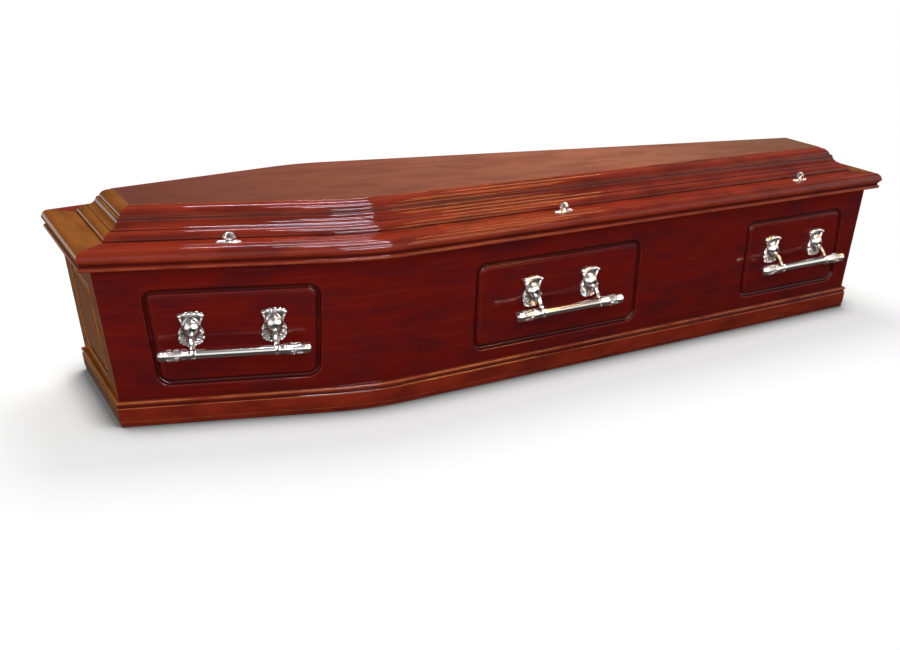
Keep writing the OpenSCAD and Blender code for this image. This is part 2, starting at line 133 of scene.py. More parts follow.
class Bench:
    """A mesh piece on the bench, kept in edit mode until it is done."""

    def __init__(self, name: str, add: Callable[..., object], **size: object) -> None:
        """Adds a primitive and opens it for editing.

        Args:
            name: Name of the piece.
            add: Operator that adds the primitive.
            size: Size and place, as the operator takes them.
        """
        bpy.ops.object.select_all(action="DESELECT")
        add(**size)
        self.piece = bpy.context.object
        self.piece.name = name
        self.piece.data.name = name
        bpy.ops.object.mode_set(mode="EDIT")
        bpy.ops.mesh.select_mode(type=Part.VERTS.value)
        bpy.ops.mesh.select_all(action="SELECT")

    @classmethod
    def drawn(cls, name: str, places: Sequence[Vector], painted_lights: Sequence[float] = (), close: bool = True) -> "Bench":
        """Starts a piece as a chain of edges, and selects it.

        Args:
            name: Name of the piece.
            places: Points of the chain.
            painted_lights: Painted light at each point, shade below 0 and a highlight above, or nothing.
            close: Whether the chain's ends are joined.

        Returns:
            The bench.
        """
        bench = cls(name, bpy.ops.mesh.primitive_plane_add, size=MM, location=places[0])
        bench.trace(places, painted_lights, close)
        return bench

    @classmethod
    def slab(cls, name: str, outline: Sequence[Vector], step: Vector) -> "Bench":
        """Starts a piece as a flat slab.

        Args:
            name: Name of the piece.
            outline: Its outline.
            step: Way from that face to the other, which stays selected.

        Returns:
            The bench.
        """
        bench = cls.drawn(name, outline)
        bpy.ops.mesh.edge_face_add()
        bench.face(step)
        bench.extrude(step)
        return bench

    @classmethod
    def reopen(cls, piece: bpy.types.Object) -> "Bench":
        """Puts a finished piece back on the bench."""
        only(piece)
        bench = cls.__new__(cls)
        bench.piece = piece
        bpy.ops.object.mode_set(mode="EDIT")
        return bench

    @property
    def mesh(self) -> bmesh.types.BMesh:
        """Mesh being edited."""
        return bmesh.from_edit_mesh(self.piece.data)

    @property
    def origin(self) -> Vector:
        """Place of the piece's origin."""
        return self.piece.location.copy()

    def pick(self, part: Part, test: Callable[[object], bool]) -> int:
        """Selects only the elements that pass a test.

        Args:
            part: Kind of element.
            test: Test that takes a bmesh vertex, edge or face.

        Returns:
            How many were selected.
        """
        bpy.ops.mesh.select_mode(type=part.value)
        bpy.ops.mesh.select_all(action="DESELECT")
        mesh = self.mesh
        elements = {Part.VERTS: mesh.verts, Part.EDGES: mesh.edges, Part.FACES: mesh.faces}[part]
        chosen = [e for e in elements if test(e)]
        for element in chosen:
            element.select_set(True)
        mesh.select_flush_mode()
        bmesh.update_edit_mesh(self.piece.data)
        return len(chosen)

    def mark(self, rub: float) -> None:
        """Notes the painted light on the selected vertices: shade painted into creases below 0, a highlight painted
        on edges above 0.
        """
        mesh = self.mesh
        layer = mesh.verts.layers.float.get(PAINTED_LIGHT) or mesh.verts.layers.float.new(PAINTED_LIGHT)
        for vert in mesh.verts:
            if vert.select:
                vert[layer] = rub

    def extrude(self, step: Sequence[float]) -> None:
        """Extrudes the selection by a step."""
        bpy.ops.mesh.extrude_region_move(TRANSFORM_OT_translate={"value": step})

    def face(self, way: Vector) -> None:
        """Turns the selected faces over if they look away from a direction."""
        mesh = self.mesh
        if sum(f.normal.dot(way) for f in mesh.faces if f.select) < 0:
            bpy.ops.mesh.flip_normals()

    def inset(self, thickness: float, depth: float, rub: float = 0.0) -> None:
        """Insets the selected face and moves it along its normal."""
        bpy.ops.mesh.inset(thickness=thickness, depth=depth)
        self.mark(rub)

    def cut(self, point: Vector, normal: Vector) -> None:
        """Cuts everything beyond a plane away, and closes the cut."""
        bpy.ops.mesh.select_all(action="SELECT")
        bpy.ops.mesh.bisect(plane_co=point, plane_no=normal, use_fill=True, clear_outer=True)

    def trace(
        self,
        places: Sequence[Vector],
        painted_lights: Sequence[float] = (),
        close: bool = True,
        origin: Vector | None = None,
    ) -> None:
        """Turns a new plane into a chain of edges, drawn point by point, and selects it.

        Args:
            places: Points of the chain. The plane was added at the first.
            painted_lights: Painted light at each point, shade below 0 and a highlight above, or nothing.
            close: Whether the chain's ends are joined.
            origin: Step from the plane to the first point, if it was added elsewhere.
        """
        painted_lights = painted_lights or [0.0] * len(places)
        bpy.ops.mesh.merge(type="CENTER")
        if origin:
            bpy.ops.transform.translate(value=origin)
        self.mark(painted_lights[0])
        for here, there, rub in zip(places, places[1:], painted_lights[1:]):
            self.extrude(there - here)
            self.mark(rub)
        if close:
            self.pick(Part.VERTS, lambda v: len(v.link_edges) == 1)
            bpy.ops.mesh.edge_face_add()
        bpy.ops.mesh.select_all(action="SELECT")

    def done(self, smooth: float = 30) -> bpy.types.Object:
        """Closes the piece: merges doubles, turns faces outwards and applies its place.

        Args:
            smooth: Edges blunter than this angle in degrees are shaded smooth.

        Returns:
            The finished piece.
        """
        bpy.ops.mesh.select_all(action="SELECT")
        bpy.ops.mesh.remove_doubles(threshold=WELD)
        bpy.ops.mesh.normals_make_consistent(inside=False)
        bpy.ops.object.mode_set(mode="OBJECT")
        only(self.piece)
        bpy.ops.object.transform_apply(location=True, rotation=True, scale=True)
        bpy.ops.object.shade_smooth_by_angle(angle=math.radians(smooth))
        return self.piece


def only(*pieces: bpy.types.Object) -> None:
    """Selects just these objects and makes the last one active."""
    bpy.ops.object.select_all(action="DESELECT")
    for piece in pieces:
        piece.select_set(True)
    bpy.context.view_layer.objects.active = pieces[-1]


def join(name: str, pieces: Sequence[bpy.types.Object]) -> bpy.types.Object:
    """Joins pieces into one.

    Args:
        name: Name of the result.
        pieces: Pieces to join.

    Returns:
        The joined piece.
    """
    only(*pieces)
    bpy.ops.object.join()
    joined = bpy.context.object
    joined.name = name
    joined.data.name = name
    return joined


def twin(piece: bpy.types.Object, name: str, place: Matrix) -> bpy.types.Object:
    """Copies a piece, with its own mesh, to another place.

    Args:
        piece: Piece to copy.
        name: Name of the copy.
        place: Placement of the copy, which may mirror it.

    Returns:
        The copy.
    """
    only(piece)
    bpy.ops.object.duplicate(linked=False)
    copy = bpy.context.object
    copy.name = name
    copy.data.name = name
    copy.data.transform(place)
    if place.determinant() < 0:
        bpy.ops.object.mode_set(mode="EDIT")
        bpy.ops.mesh.select_all(action="SELECT")
        bpy.ops.mesh.flip_normals()
        bpy.ops.object.mode_set(mode="OBJECT")
    return copy


def lathe(
    name: str,
    profile: Sequence[Vector],
    centre: Vector,
    axis: Vector,
    steps: int,
    smooth: float,
    close: bool = False,
) -> bpy.types.Object:
    """Turns a profile round an axis.

    Args:
        name: Name of the piece.
        profile: Points of the profile.
        centre: A point of the axis.
        axis: Direction of the axis.
        steps: Faces round the piece.
        smooth: Edges blunter than this angle in degrees are shaded smooth.
        close: Whether the profile is a loop, as for a ring.

    Returns:
        The finished piece.
    """
    bench = Bench.drawn(name, profile, close=close)
    bpy.ops.mesh.spin(steps=steps, angle=math.tau, center=centre, axis=axis)
    return bench.done(smooth)


def discard(*pieces: bpy.types.Object) -> None:
    """Deletes pieces that were only models for their copies."""
    only(*pieces)
    bpy.ops.object.delete()


def ball(name: str, place: Matrix, radii: Sequence[float], fine: int = 12) -> bpy.types.Object:
    """A rounded boss: a sphere shaped to three radii.

    Args:
        name: Name of the piece.
        place: Placement of its middle.
        radii: Radii along its own axes, in millimetres.
        fine: Faces round it.

    Returns:
        The boss, with its place in its mesh.
    """
    bpy.ops.object.select_all(action="DESELECT")
    bpy.ops.mesh.primitive_uv_sphere_add(segments=fine, ring_count=fine // 2, radius=MM)
    piece = bpy.context.object
    piece.name = name
    piece.matrix_world = place @ Matrix.Diagonal((*radii, 1))
    bpy.ops.object.transform_apply(location=True, rotation=True, scale=True)
    bpy.ops.object.shade_smooth()
    return piece


def wire(name: str, path: Sequence[Vector], radii: Sequence[float]) -> bpy.types.Object:
    """A round strand along a path, with closed ends.

    Args:
        name: Name of the piece.
        path: Points of its middle line.
        radii: Radius at each point, in millimetres.

    Returns:
        The strand as a mesh.
    """
    bench = Bench.drawn(name, path, close=False)
    origin = bench.origin
    bpy.ops.object.mode_set(mode="OBJECT")
    only(bench.piece)
    bpy.ops.object.convert(target="CURVE")
    strand = bpy.context.object
    strand.data.bevel_depth = MM
    strand.data.bevel_resolution = 2
    strand.data.use_fill_caps = True
    points = list(strand.data.splines[0].points)
    if (points[0].co.to_3d() + origin - path[0]).length > (points[-1].co.to_3d() + origin - path[0]).length:
        points.reverse()
    for point, radius in zip(points, radii):
        point.radius = radius
    bpy.ops.object.convert(target="MESH")
    bpy.ops.object.transform_apply(location=True, rotation=True, scale=True)
    bpy.ops.object.shade_smooth_by_angle(angle=math.radians(50))
    return bpy.context.object


# ---- Sections ----


@dataclass(frozen=True)
class Stop:
    """One point of a section: its place, and its painted light, from -1 where shade is painted into a crease to 1
    where a highlight is painted on an edge.
    """

    x: float
    z: float
    rub: float = 0.0


def arc(centre: Point, radii: Point, start: float, end: float, steps: int = 14) -> list[Stop]:
    """Points on an elliptical arc, with angles in degrees."""
    turns = (math.radians(start + (end - start) * i / steps) for i in range(steps + 1))
    return [Stop(centre[0] + radii[0] * math.cos(a), centre[1] + radii[1] * math.sin(a)) for a in turns]


def bow(start: Point, end: Point, sag: float, steps: int = 14) -> list[Stop]:
    """Points on a shallow arc between two points, bulging to the left by its sag."""
    first, last = Vector(start), Vector(end)
    half = (last - first).length / 2
    radius = (half**2 + sag**2) / (2 * abs(sag))
    way = (last - first).normalized()
    left = Vector((-way.y, way.x)) * math.copysign(1, sag)
    centre = (first + last) / 2 - left * (radius - abs(sag))
    wide = math.asin(half / radius)
    turns = (wide * (2 * i / steps - 1) for i in range(steps + 1))
    return [Stop(*(centre + radius * (left * math.cos(a) + way * math.sin(a)))) for a in turns]


def eased(before: Point, corner: Point, after: Point, radius: float, rub: float = 1.0) -> list[Stop]:
    """A sharp corner of a section, rounded as sandpaper leaves it.

    Args:
        before: Point that the section comes from.
        corner: The corner.
        after: Point that it goes to.
        radius: Length cut off each side of the corner.
        rub: How strong a highlight is painted on the corner.

    Returns:
        Three points in place of the corner.
    """
    here = Vector(corner)
    back = (Vector(before) - here).normalized() * radius
    on = (Vector(after) - here).normalized() * radius
    middle = here + (back + on) * 0.3
    return [Stop(*(here + back), rub / 3), Stop(*middle, rub), Stop(*(here + on), rub / 3)]


def smooth_loop(corners: Sequence[Point], steps: int) -> list[Point]:
    """A closed curve through corner points, by Catmull and Rom's rule.

    Args:
        corners: Points that the curve passes through.
        steps: Points from each corner to the next.

    Returns:
        Points of the curve.
    """
    count = len(corners)
    found = []
    for i in range(count):
        a, b, c, d = (Vector(corners[(i + k) % count]) for k in (-1, 0, 1, 2))
        for k in range(steps):
            t = k / steps
            cubic = 2 * b + (c - a) * t + (2 * a - 5 * b + 4 * c - d) * t**2 + (3 * b - a - 3 * c + d) * t**3
            found.append(tuple(cubic / 2))
    return found


# ---- Plan of the coffin ----


@dataclass(frozen=True)
class Plan:
    """Outline of the coffin seen from above, and the levels that its parts share."""

    length: float
    head_w: float
    foot_w: float
    box_h: float
    rim_top: float
    top: float
    plinth_h: float
    head_lean: float
    foot_lean: float
    overhang: float = 28 * MM
    wall_t: float = 20 * MM
    shoulder_w: float = 578 * MM
    shoulder_x: float = 536 * MM
    bend_r: float = 550 * MM
    first_bay: float = 275 * MM
    bay_pitch: float = 728 * MM

    @classmethod
    def from_frame(cls) -> "Plan":
        """Reads the plan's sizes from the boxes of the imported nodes."""
        head_lo, head_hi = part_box("lid_rim_head")
        foot_lo, foot_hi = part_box("lid_rim_foot")
        wall_in = cls.overhang + cls.wall_t
        return cls(
            length=foot_hi.x - head_lo.x,
            head_w=head_hi.y - head_lo.y,
            foot_w=foot_hi.y - foot_lo.y,
            box_h=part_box("side_right")[1].z,
            rim_top=head_hi.z,
            top=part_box("lid_top")[1].z,
            plinth_h=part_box("plinth_right")[1].z,
            head_lean=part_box("head_panel")[1].x - head_lo.x - wall_in,
            foot_lean=foot_hi.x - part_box("foot_panel")[0].x - wall_in,
        )

    @property
    def splay(self) -> float:
        """Angle of the head run to the coffin's length."""
        return math.atan2((self.shoulder_w - self.head_w) / 2, self.shoulder_x)

    @property
    def taper(self) -> float:
        """Angle of the foot run to the coffin's length."""
        return math.atan2((self.shoulder_w - self.foot_w) / 2, self.length - self.shoulder_x)

    @property
    def head_point(self) -> Vector:
        """Corner of the right side at the head."""
        return Vector((-self.length / 2, -self.head_w / 2, 0))

    @property
    def foot_point(self) -> Vector:
        """Corner of the right side at the foot."""
        return Vector((self.length / 2, -self.foot_w / 2, 0))

    @property
    def bend_centre(self) -> Vector:
        """Centre of the right shoulder's bend."""
        shoulder = Vector((-self.length / 2 + self.shoulder_x, -self.shoulder_w / 2, 0))
        half = (self.splay + self.taper) / 2
        lean = (self.splay - self.taper) / 2
        return shoulder + self.bend_r / math.cos(half) * Vector((math.sin(lean), math.cos(lean), 0))

    def way(self, heading: float) -> Vector:
        """Direction along the coffin for a heading."""
        return Vector((math.cos(heading), math.sin(heading), 0))

    def out(self, heading: float) -> Vector:
        """Direction out of the right side for a heading."""
        return Vector((math.sin(heading), -math.cos(heading), 0))

    def heading(self, x: float) -> float:
        """Direction of the right side at x, as an angle about Z."""
        return -self.splay if x < -self.length / 2 + self.shoulder_x else self.taper

    def bay_x(self, bay: Bay) -> float:
        """Middle of a bay along the coffin."""
        return -self.length / 2 + self.first_bay + bay.value * self.bay_pitch

    def side_point(self, x: float, inset: float) -> Vector:
        """Point of the right side's straight runs at x."""
        heading = self.heading(x)
        corner = self.head_point if heading < 0 else self.foot_point
        return Vector((x, corner.y + (x - corner.x) * math.tan(heading) + inset / math.cos(heading), 0))

    def side_line(self, inset: float, steps: int) -> list[Vector]:
        """Line of the right side at an inset, from the head's mitre to the foot's."""
        turn = self.splay + self.taper
        headings = [turn * i / steps - self.splay for i in range(steps + 1)]
        bend = [self.bend_centre + self.out(a) * (self.bend_r - inset) for a in headings]
        head, foot = (self.inwards(end) * inset for end in End)
        return [self.head_point + head, *bend, self.foot_point + foot]

    def at_side(self, bay: Bay, inset: float, z: float) -> Matrix:
        """Placement on the right side at a bay: X along the coffin, -Y out of it, Z up."""
        x = self.bay_x(bay)
        return Matrix.Translation(self.side_point(x, inset) + UP * z) @ Matrix.Rotation(self.heading(x), 4, UP)

    def lean(self, end: End) -> float:
        """How much further in an end of the box is at its bottom than at its top."""
        return self.head_lean if end is End.HEAD else self.foot_lean

    def lean_at(self, end: End, z: float) -> float:
        """How much further in an end of the box is at a height than at its top."""
        return self.lean(end) * (self.box_h - z) / self.box_h

    def slope(self, end: End) -> float:
        """Angle that the sides make with the coffin's length at an end."""
        return self.splay if end is End.HEAD else self.taper

    def inwards(self, end: End) -> Vector:
        """Way inwards along the mitre at the right corner of an end, for an inset of one."""
        slope = self.slope(end)
        return Vector((-end.value, (1 - math.sin(slope)) / math.cos(slope), 0))

    def mitre(self, end: End, lean: float) -> tuple[Vector, Vector]:
        """Plane of the mitre at the right corner of an end.

        Args:
            end: The end.
            lean: Lean of the end, which is 0 on the lid.

        Returns:
            A point of the plane, and its normal towards the end piece.
        """
        corner = self.head_point if end is End.HEAD else self.foot_point
        inwards = self.inwards(end)
        edge = Vector((end.value * lean, lean * math.tan(self.slope(end)), self.box_h))
        point = corner + self.overhang * inwards + UP * self.box_h
        return point, (edge.cross(inwards) * -end.value).normalized()

    def unroll(self, point: Vector) -> tuple[float, float]:
        """Distance along the right side, and inset, of a point of it."""
        arm = point - self.bend_centre
        angle = math.atan2(arm.x, -arm.y)
        for limit, beyond in ((-self.splay, angle < -self.splay), (self.taper, angle > self.taper)):
            if beyond:
                return arm.dot(self.way(limit)) + limit * self.bend_r, self.bend_r - arm.dot(self.out(limit))
        return angle * self.bend_r, self.bend_r - arm.length


def lay_grain(piece: bpy.types.Object, unroll: Callable[[Vector], Sequence[float]]) -> None:
    """Stores on each vertex where it lies in the plank: along the grain, across it and up.

    Args:
        piece: Wooden piece.
        unroll: Takes a place and gives those three lengths.
    """
    layer = piece.data.attributes.new(GRAIN, "FLOAT_VECTOR", "POINT")
    flat = np.array([unroll(v.co) for v in piece.data.vertices], np.float32).ravel()
    layer.data.foreach_set("vector", flat)


@dataclass(frozen=True)
class Joinery:
    """Makes mitred lengths of a section along the coffin's sides and ends."""

    plan: Plan
    bend_steps: int = 32
    hold: float = 12 * MM
    spare: float = 200 * MM

    def draw(self, name: str, section: Sequence[Stop], origin: Vector, inwards: Vector) -> Bench:
        """Draws a closed section as a loop of edges.

        Args:
            name: Name of the piece.
            section: Points in millimetres.
            origin: Place of the section's inset 0 and height 0.
            inwards: Direction of a growing inset.

        Returns:
            The bench that holds the loop.
        """
        places = [origin + inwards * (s.x * MM) + UP * (s.z * MM) for s in section]
        return Bench.drawn(name, places, [s.rub for s in section])

    def side(self, name: str, section: Sequence[Stop], leaning: bool) -> bpy.types.Object:
        """Runs a section along the right side, round the shoulder, between its two mitres.

        Args:
            name: Name of the piece.
            section: Points in millimetres.
            leaning: Whether the piece meets the box's raked ends.

        Returns:
            The finished piece.
        """
        plan = self.plan
        out = plan.out(-plan.splay)
        start = plan.bend_centre + out * plan.bend_r
        bench = self.draw(name, section, start, -out)
        turn = -(plan.splay + plan.taper)
        bpy.ops.mesh.spin(steps=self.bend_steps, angle=turn, center=plan.bend_centre, axis=UP)
        bench.extrude(plan.way(plan.taper) * self.hold)
        bench.extrude(plan.way(plan.taper) * (plan.length - plan.shoulder_x + self.spare))
        origin = bench.origin
        bench.pick(Part.VERTS, lambda v: abs((v.co + origin - start).dot(plan.way(-plan.splay))) < NEAR)
        bench.extrude(plan.way(-plan.splay) * -self.hold)
        bench.extrude(plan.way(-plan.splay) * -(plan.shoulder_x + self.spare))
        for end in End:
            bench.cut(*plan.mitre(end, plan.lean(end) if leaning else 0))
        return bench.done()

    def end(self, name: str, section: Sequence[Stop], end: End, leaning: bool) -> bpy.types.Object:
        """Runs a section across an end, between its two mitres.

        Args:
            name: Name of the piece.
            section: Points in millimetres, with the end's lean in them.
            end: The end.
            leaning: Whether the piece belongs to the box's raked ends.

        Returns:
            The finished piece.
        """
        plan = self.plan
        reach = plan.shoulder_w / 2
        start = Vector((end.value * plan.length / 2, -reach, 0))
        bench = self.draw(name, section, start, Vector((-end.value, 0, 0)))
        bench.extrude((0, 2 * reach, 0))
        point, normal = plan.mitre(end, plan.lean(end) if leaning else 0)
        flip = Vector((1, -1, 1))
        bench.cut(point, -normal)
        bench.cut(point * flip, -normal * flip)
        return bench.done()

    def grain_side(self, piece: bpy.types.Object) -> None:
        """Lays the grain of a right side piece along it, round the shoulder."""
        lay_grain(piece, lambda p: (*self.plan.unroll(Vector((p.x, p.y, 0))), p.z))

    def grain_end(self, piece: bpy.types.Object) -> None:
        """Lays the grain of an end piece across the coffin, in planks of its own."""
        lay_grain(piece, lambda p: (p.y + END_PLANKS, p.x, p.z))


# ---- Woodwork ----


@dataclass(frozen=True)
class RaisedPanel:
    """The groove and cove routed round a raised panel, cut into a flat face of a board."""

    bottom: float = 75 * MM
    top: float = 273 * MM
    corner: float = 28 * MM
    corner_steps: int = 12
    edge: float = 0.6 * MM

    def section(self) -> list[Stop]:
        """Section from the board's face, across the groove, to the field of the panel."""
        return [
            Stop(0, 0, 0.3),
            Stop(0.4, -0.25, 0.9),
            Stop(0.8, -1.2, 0.2),
            Stop(1.2, -1.5),
            Stop(3, -1.55, -0.3),
            *(Stop(s.x, s.z, -0.7) for s in arc((9.2, -1.55), (6.2, 4.95), 180, 270)[1:]),
            Stop(10.6, -6.5, -1.0),
            Stop(11.2, -6.3, -1.0),
            *arc((16.4, -6.3), (5.2, 4.9), 180, 90)[1:],
            Stop(18.2, -1.2, 0.3),
            Stop(18.6, -0.3, 0.8),
            Stop(19, 0, 0.3),
            Stop(19.6, 0),
        ]

    def make(self, name: str, corners: Sequence[Point], place: Matrix) -> bpy.types.Object:
        """Models the panel with a narrow flat edge, to be set in the board's face.

        Args:
            name: Name of the piece.
            corners: Its four corners on the face, in metres, anticlockwise.
            place: Placement of the face, with Z out of the wood.

        Returns:
            The panel, still open at its back.
        """
        middle = sum((Vector(c) for c in corners), Vector((0, 0))) / len(corners)
        grown = [Vector([a + math.copysign(self.edge, a - m) for a, m in zip(c, middle)]).to_3d() for c in corners]
        bench = Bench(name, bpy.ops.mesh.primitive_plane_add, size=MM, location=(0, 0, 0))
        bench.trace(grown, origin=grown[0])
        bpy.ops.mesh.edge_face_add()
        bench.face(UP)
        radius = self.corner + self.edge
        bpy.ops.mesh.bevel(offset=radius, offset_type="OFFSET", segments=self.corner_steps, affect="VERTICES")
        stops = self.section()
        bench.inset(self.edge, 0, stops[0].rub)
        for here, there in zip(stops, stops[1:]):
            bench.inset((there.x - here.x) * MM, (there.z - here.z) * MM, there.rub)
        bpy.ops.object.mode_set(mode="OBJECT")
        bench.piece.data.transform(place)
        return bench.piece


def set_in(board: bpy.types.Object, panels: Sequence[bpy.types.Object], face_of: Callable[[object], bool]) -> None:
    """Sets raised panels into one flat face of a board.

    Args:
        board: The board.
        panels: Panels in the plane of the face.
        face_of: Test for a mesh element with a normal that lies in the face.
    """
    name = board.name
    bench = Bench.reopen(board)
    bench.pick(Part.FACES, face_of)
    bpy.ops.mesh.delete(type="ONLY_FACE")
    bpy.ops.object.mode_set(mode="OBJECT")
    join(name, [*panels, board])
    bench = Bench.reopen(board)
    bench.pick(Part.EDGES, lambda e: len(e.link_faces) == 1)
    bpy.ops.mesh.fill(use_beauty=True)
    bench.done(50)


@dataclass(frozen=True)
class Coffin:
    """The box and the lid: boards, plinth, rim and mouldings."""

    plan: Plan
    joinery: Joinery
    panel: RaisedPanel
    bay_lengths: tuple[float, float, float] = (344 * MM, 452 * MM, 344 * MM)
    end_panel: float = 186 * MM
    lip: float = 124 * MM
    top_t: float = 12 * MM

    def wall(self, lean: float = 0) -> list[Stop]:
        """Section of a wall of the box, with its lean at the bottom."""
        inner = (self.plan.overhang + self.plan.wall_t) / MM
        outer = self.plan.overhang / MM
        high = self.plan.box_h / MM
        return [Stop(outer + lean, 0), Stop(inner + lean, 0), Stop(inner, high), Stop(outer, high)]

    def plinth(self, lean: float = 0) -> list[Stop]:
        """Section of the plinth: a flat skirting under a fillet and a bead."""
        high = self.plan.box_h / MM
        stops = [
            Stop(0, 0),
            Stop(-6.6, 0),
            Stop(-7, 0.6),
            Stop(-7, 9),
            Stop(-7.4, 9.4, 0.4),
            Stop(-8, 10, 0.9),
            Stop(-8, 10.8),
            Stop(-8, 36.8),
            *eased((-8, 30), (-8, 38.2), (-6.5, 39.2), 0.8),
            Stop(-6.3, 39.6, -0.8),
            Stop(-6.3, 42.2, -1.0),
            Stop(-5.6, 43.4, -0.8),
            *[Stop(s.x, s.z, 0.7 if 4 < i < 8 else 0.1) for i, s in enumerate(arc((-4, 48), (4, 4), 245, 90, 10))],
            Stop(0, 52),
        ]
        return [Stop(self.plan.overhang / MM + s.x + lean * (high - s.z) / high, s.z, s.rub) for s in stops]

    def rim(self) -> list[Stop]:
        """Section of the lid's rim: a bead under a rounded lip."""
        low, lip = self.plan.box_h / MM, self.plan.box_h / MM + 21.5
        return [
            Stop(84, low),
            *[
                Stop(s.x, s.z, 0.25 if 4 < i < 9 else 0)
                for i, s in enumerate(arc((7.4, low + 4.6), (4.6, 4.6), 270, 100))
            ],
            Stop(6.6, low + 9.8, -1.0),
            Stop(6.6, lip - 8.5, -1.0),
            Stop(5.9, lip - 7.4, -0.6),
            *eased((5.9, lip - 7.4), (0.6, lip - 1.3), (0, lip), 0.6, 0.35),
            *arc((16, lip), (16, 17.5), 180, 90, 18),
            Stop(16.6, lip + 17.5),
            Stop(84, lip + 17.5),
        ]

    def moulding(self) -> list[Stop]:
        """Section of the lid's stepped moulding, up to the lip round the top board."""
        low = self.plan.rim_top / MM
        stops = [
            Stop(62, 0, -1.0),
            Stop(61.2, 0.7, -0.5),
            *bow((61, 3), (77.5, 15.4), 3.2),
            Stop(78.3, 15.9, -1.0),
            Stop(78.9, 17.0, -1.0),
            *bow((79.6, 17.3), (94, 31.6), -2.6),
            Stop(94.5, 32.0, -0.4),
            Stop(94.8, 33.0, -0.9),
            Stop(94.9, 35.2, -0.6),
            Stop(95.5, 36.1, 0.5),
            Stop(98.2, 36.4, 0.1),
            Stop(99.4, 36.2, -1.0),
            Stop(99.8, 35.8, -1.0),
            *bow((100, 38.6), (119.0, 52.2), 3.4),
            Stop(119.6, 53.4, 0.3),
            Stop(120.4, 54, 0.8),
            Stop(121.4, 54, 0.1),
            Stop(124, 54),
            Stop(124, 42),
            Stop(136, 42),
            Stop(136, 32),
            Stop(84, 0),
        ]
        return [Stop(s.x, low + s.z, s.rub) for s in stops]

    def strips(self, lean: float) -> Iterable[tuple[str, str, list[Stop], bool]]:
        """Name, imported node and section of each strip, and whether it meets the box's raked ends."""
        yield "skirting", "plinth", self.plinth(lean), True
        yield "rim", "lid_rim", self.rim(), False
        yield "moulding", "lid_moulding", self.moulding(), False

    def bay_place(self, bay: Bay) -> Matrix:
        """Placement on the outer face of the right side at a bay, with Z out of the wood."""
        x = self.plan.bay_x(bay)
        heading = self.plan.heading(x)
        columns = (self.plan.way(heading), UP, self.plan.out(heading), self.plan.side_point(x, self.plan.overhang))
        return Matrix([(*row,) for row in zip(*columns)]).to_4x4()

    def end_place(self, end: End) -> tuple[Matrix, float]:
        """Placement on the outer face of an end, with Z out of the wood, and its rake."""
        rake = math.atan2(self.plan.lean(end), self.plan.box_h)
        along = Vector((0, end.value, 0))
        up = Vector((end.value * math.sin(rake), 0, math.cos(rake)))
        foot = end.value * (self.plan.length / 2 - self.plan.overhang - self.plan.lean(end))
        columns = (along, up, along.cross(up), Vector((foot, 0, 0)))
        return Matrix([(*row,) for row in zip(*columns)]).to_4x4(), rake

    def make_side_wall(self) -> bpy.types.Object:
        """Models the right side wall with its three raised panels."""
        wall = self.joinery.side("side_wall_right", self.wall(), True)
        for heading, bays in ((-self.plan.splay, [Bay.HEAD]), (self.plan.taper, [Bay.MIDDLE, Bay.FOOT])):
            panels = []
            for bay in bays:
                half = self.bay_lengths[bay.value] / 2
                low, high = self.panel.bottom, self.panel.top
                rake = self.plan.lean_at(End.HEAD, low) - self.plan.lean_at(End.HEAD, high)
                corners = [(rake * (bay is Bay.HEAD) - half, low), (half, low), (half, high), (-half, high)]
                panels.append(self.panel.make(f"panel_{bay.word}", corners, self.bay_place(bay)))
            out = self.plan.out(heading)
            set_in(wall, panels, lambda f, out=out: f.normal.dot(out) > SAME_WAY and f.calc_area() > SMALLEST_FACE)
        self.joinery.grain_side(wall)
        return wall

    def make_end_wall(self, end: End) -> bpy.types.Object:
        """Models an end wall with its raised panel."""
        lean = self.plan.lean(end) / MM
        wall = self.joinery.end(f"end_wall_{end.word}", self.wall(lean), end, True)
        place, rake = self.end_place(end)
        half = self.end_panel / 2
        low, high = self.panel.bottom / math.cos(rake), self.panel.top / math.cos(rake)
        corners = [(-half, low), (half, low), (half, high), (-half, high)]
        panel = self.panel.make(f"panel_{end.word}", corners, place)
        out = Vector(place.col[2][:3])
        set_in(wall, [panel], lambda f: f.normal.dot(out) > SAME_WAY)
        self.joinery.grain_end(wall)
        return wall

    def make_top(self) -> bpy.types.Object:
        """Models the board of the lid's top, with the sides' outline."""
        right = self.plan.side_line(self.lip, self.joinery.bend_steps)
        left = [MIRROR @ p for p in reversed(right)]
        low = UP * (self.plan.top - self.top_t)
        outline = [p + low for p in [*right, *left]]
        board = Bench.slab("top_board", outline, UP * self.top_t).done()
        lay_grain(board, lambda p: (p.x, p.y, p.z))
        return board

    def make_side_strip(self, name: str, section: Sequence[Stop], leaning: bool) -> bpy.types.Object:
        """Models a moulding along the right side."""
        strip = self.joinery.side(name, section, leaning)
        self.joinery.grain_side(strip)
        return strip

    def make_end_strip(self, name: str, section: Sequence[Stop], end: End, leaning: bool) -> bpy.types.Object:
        """Models a moulding across an end."""
        strip = self.joinery.end(name, section, end, leaning)
        self.joinery.grain_end(strip)
        return strip

    def build(self, finishes: "Finishes") -> None:
        """Makes every wooden piece, dresses it and puts it in place of its node.

        Args:
            finishes: The materials.
        """
        models = [(self.make_side_wall(), "side_wall", "side", finishes.side, "side_lacquer")]
        for name, node, section, leaning in self.strips(0):
            model = self.make_side_strip(f"{name}_right", section, leaning)
            models.append((model, name, node, finishes.strip, "moulding_lacquer"))
        for model, name, node, finish, slot in models:
            other = twin(model, f"{name}_left", MIRROR)
            for side, piece in zip(Side, (model, other)):
                install(piece, "root", f"{node}_{side.word}", finish, slot)
        for end in End:
            install(self.make_end_wall(end), "root", f"{end.word}_panel", finishes.end, "end_lacquer")
            for name, node, section, leaning in self.strips(self.plan.lean(end) / MM):
                strip = self.make_end_strip(f"{name}_{end.word}", section, end, leaning)
                install(strip, "root", f"{node}_{end.word}", finishes.end, "end_lacquer")
        install(self.make_top(), "root", "lid_top", finishes.top, "top_lacquer")


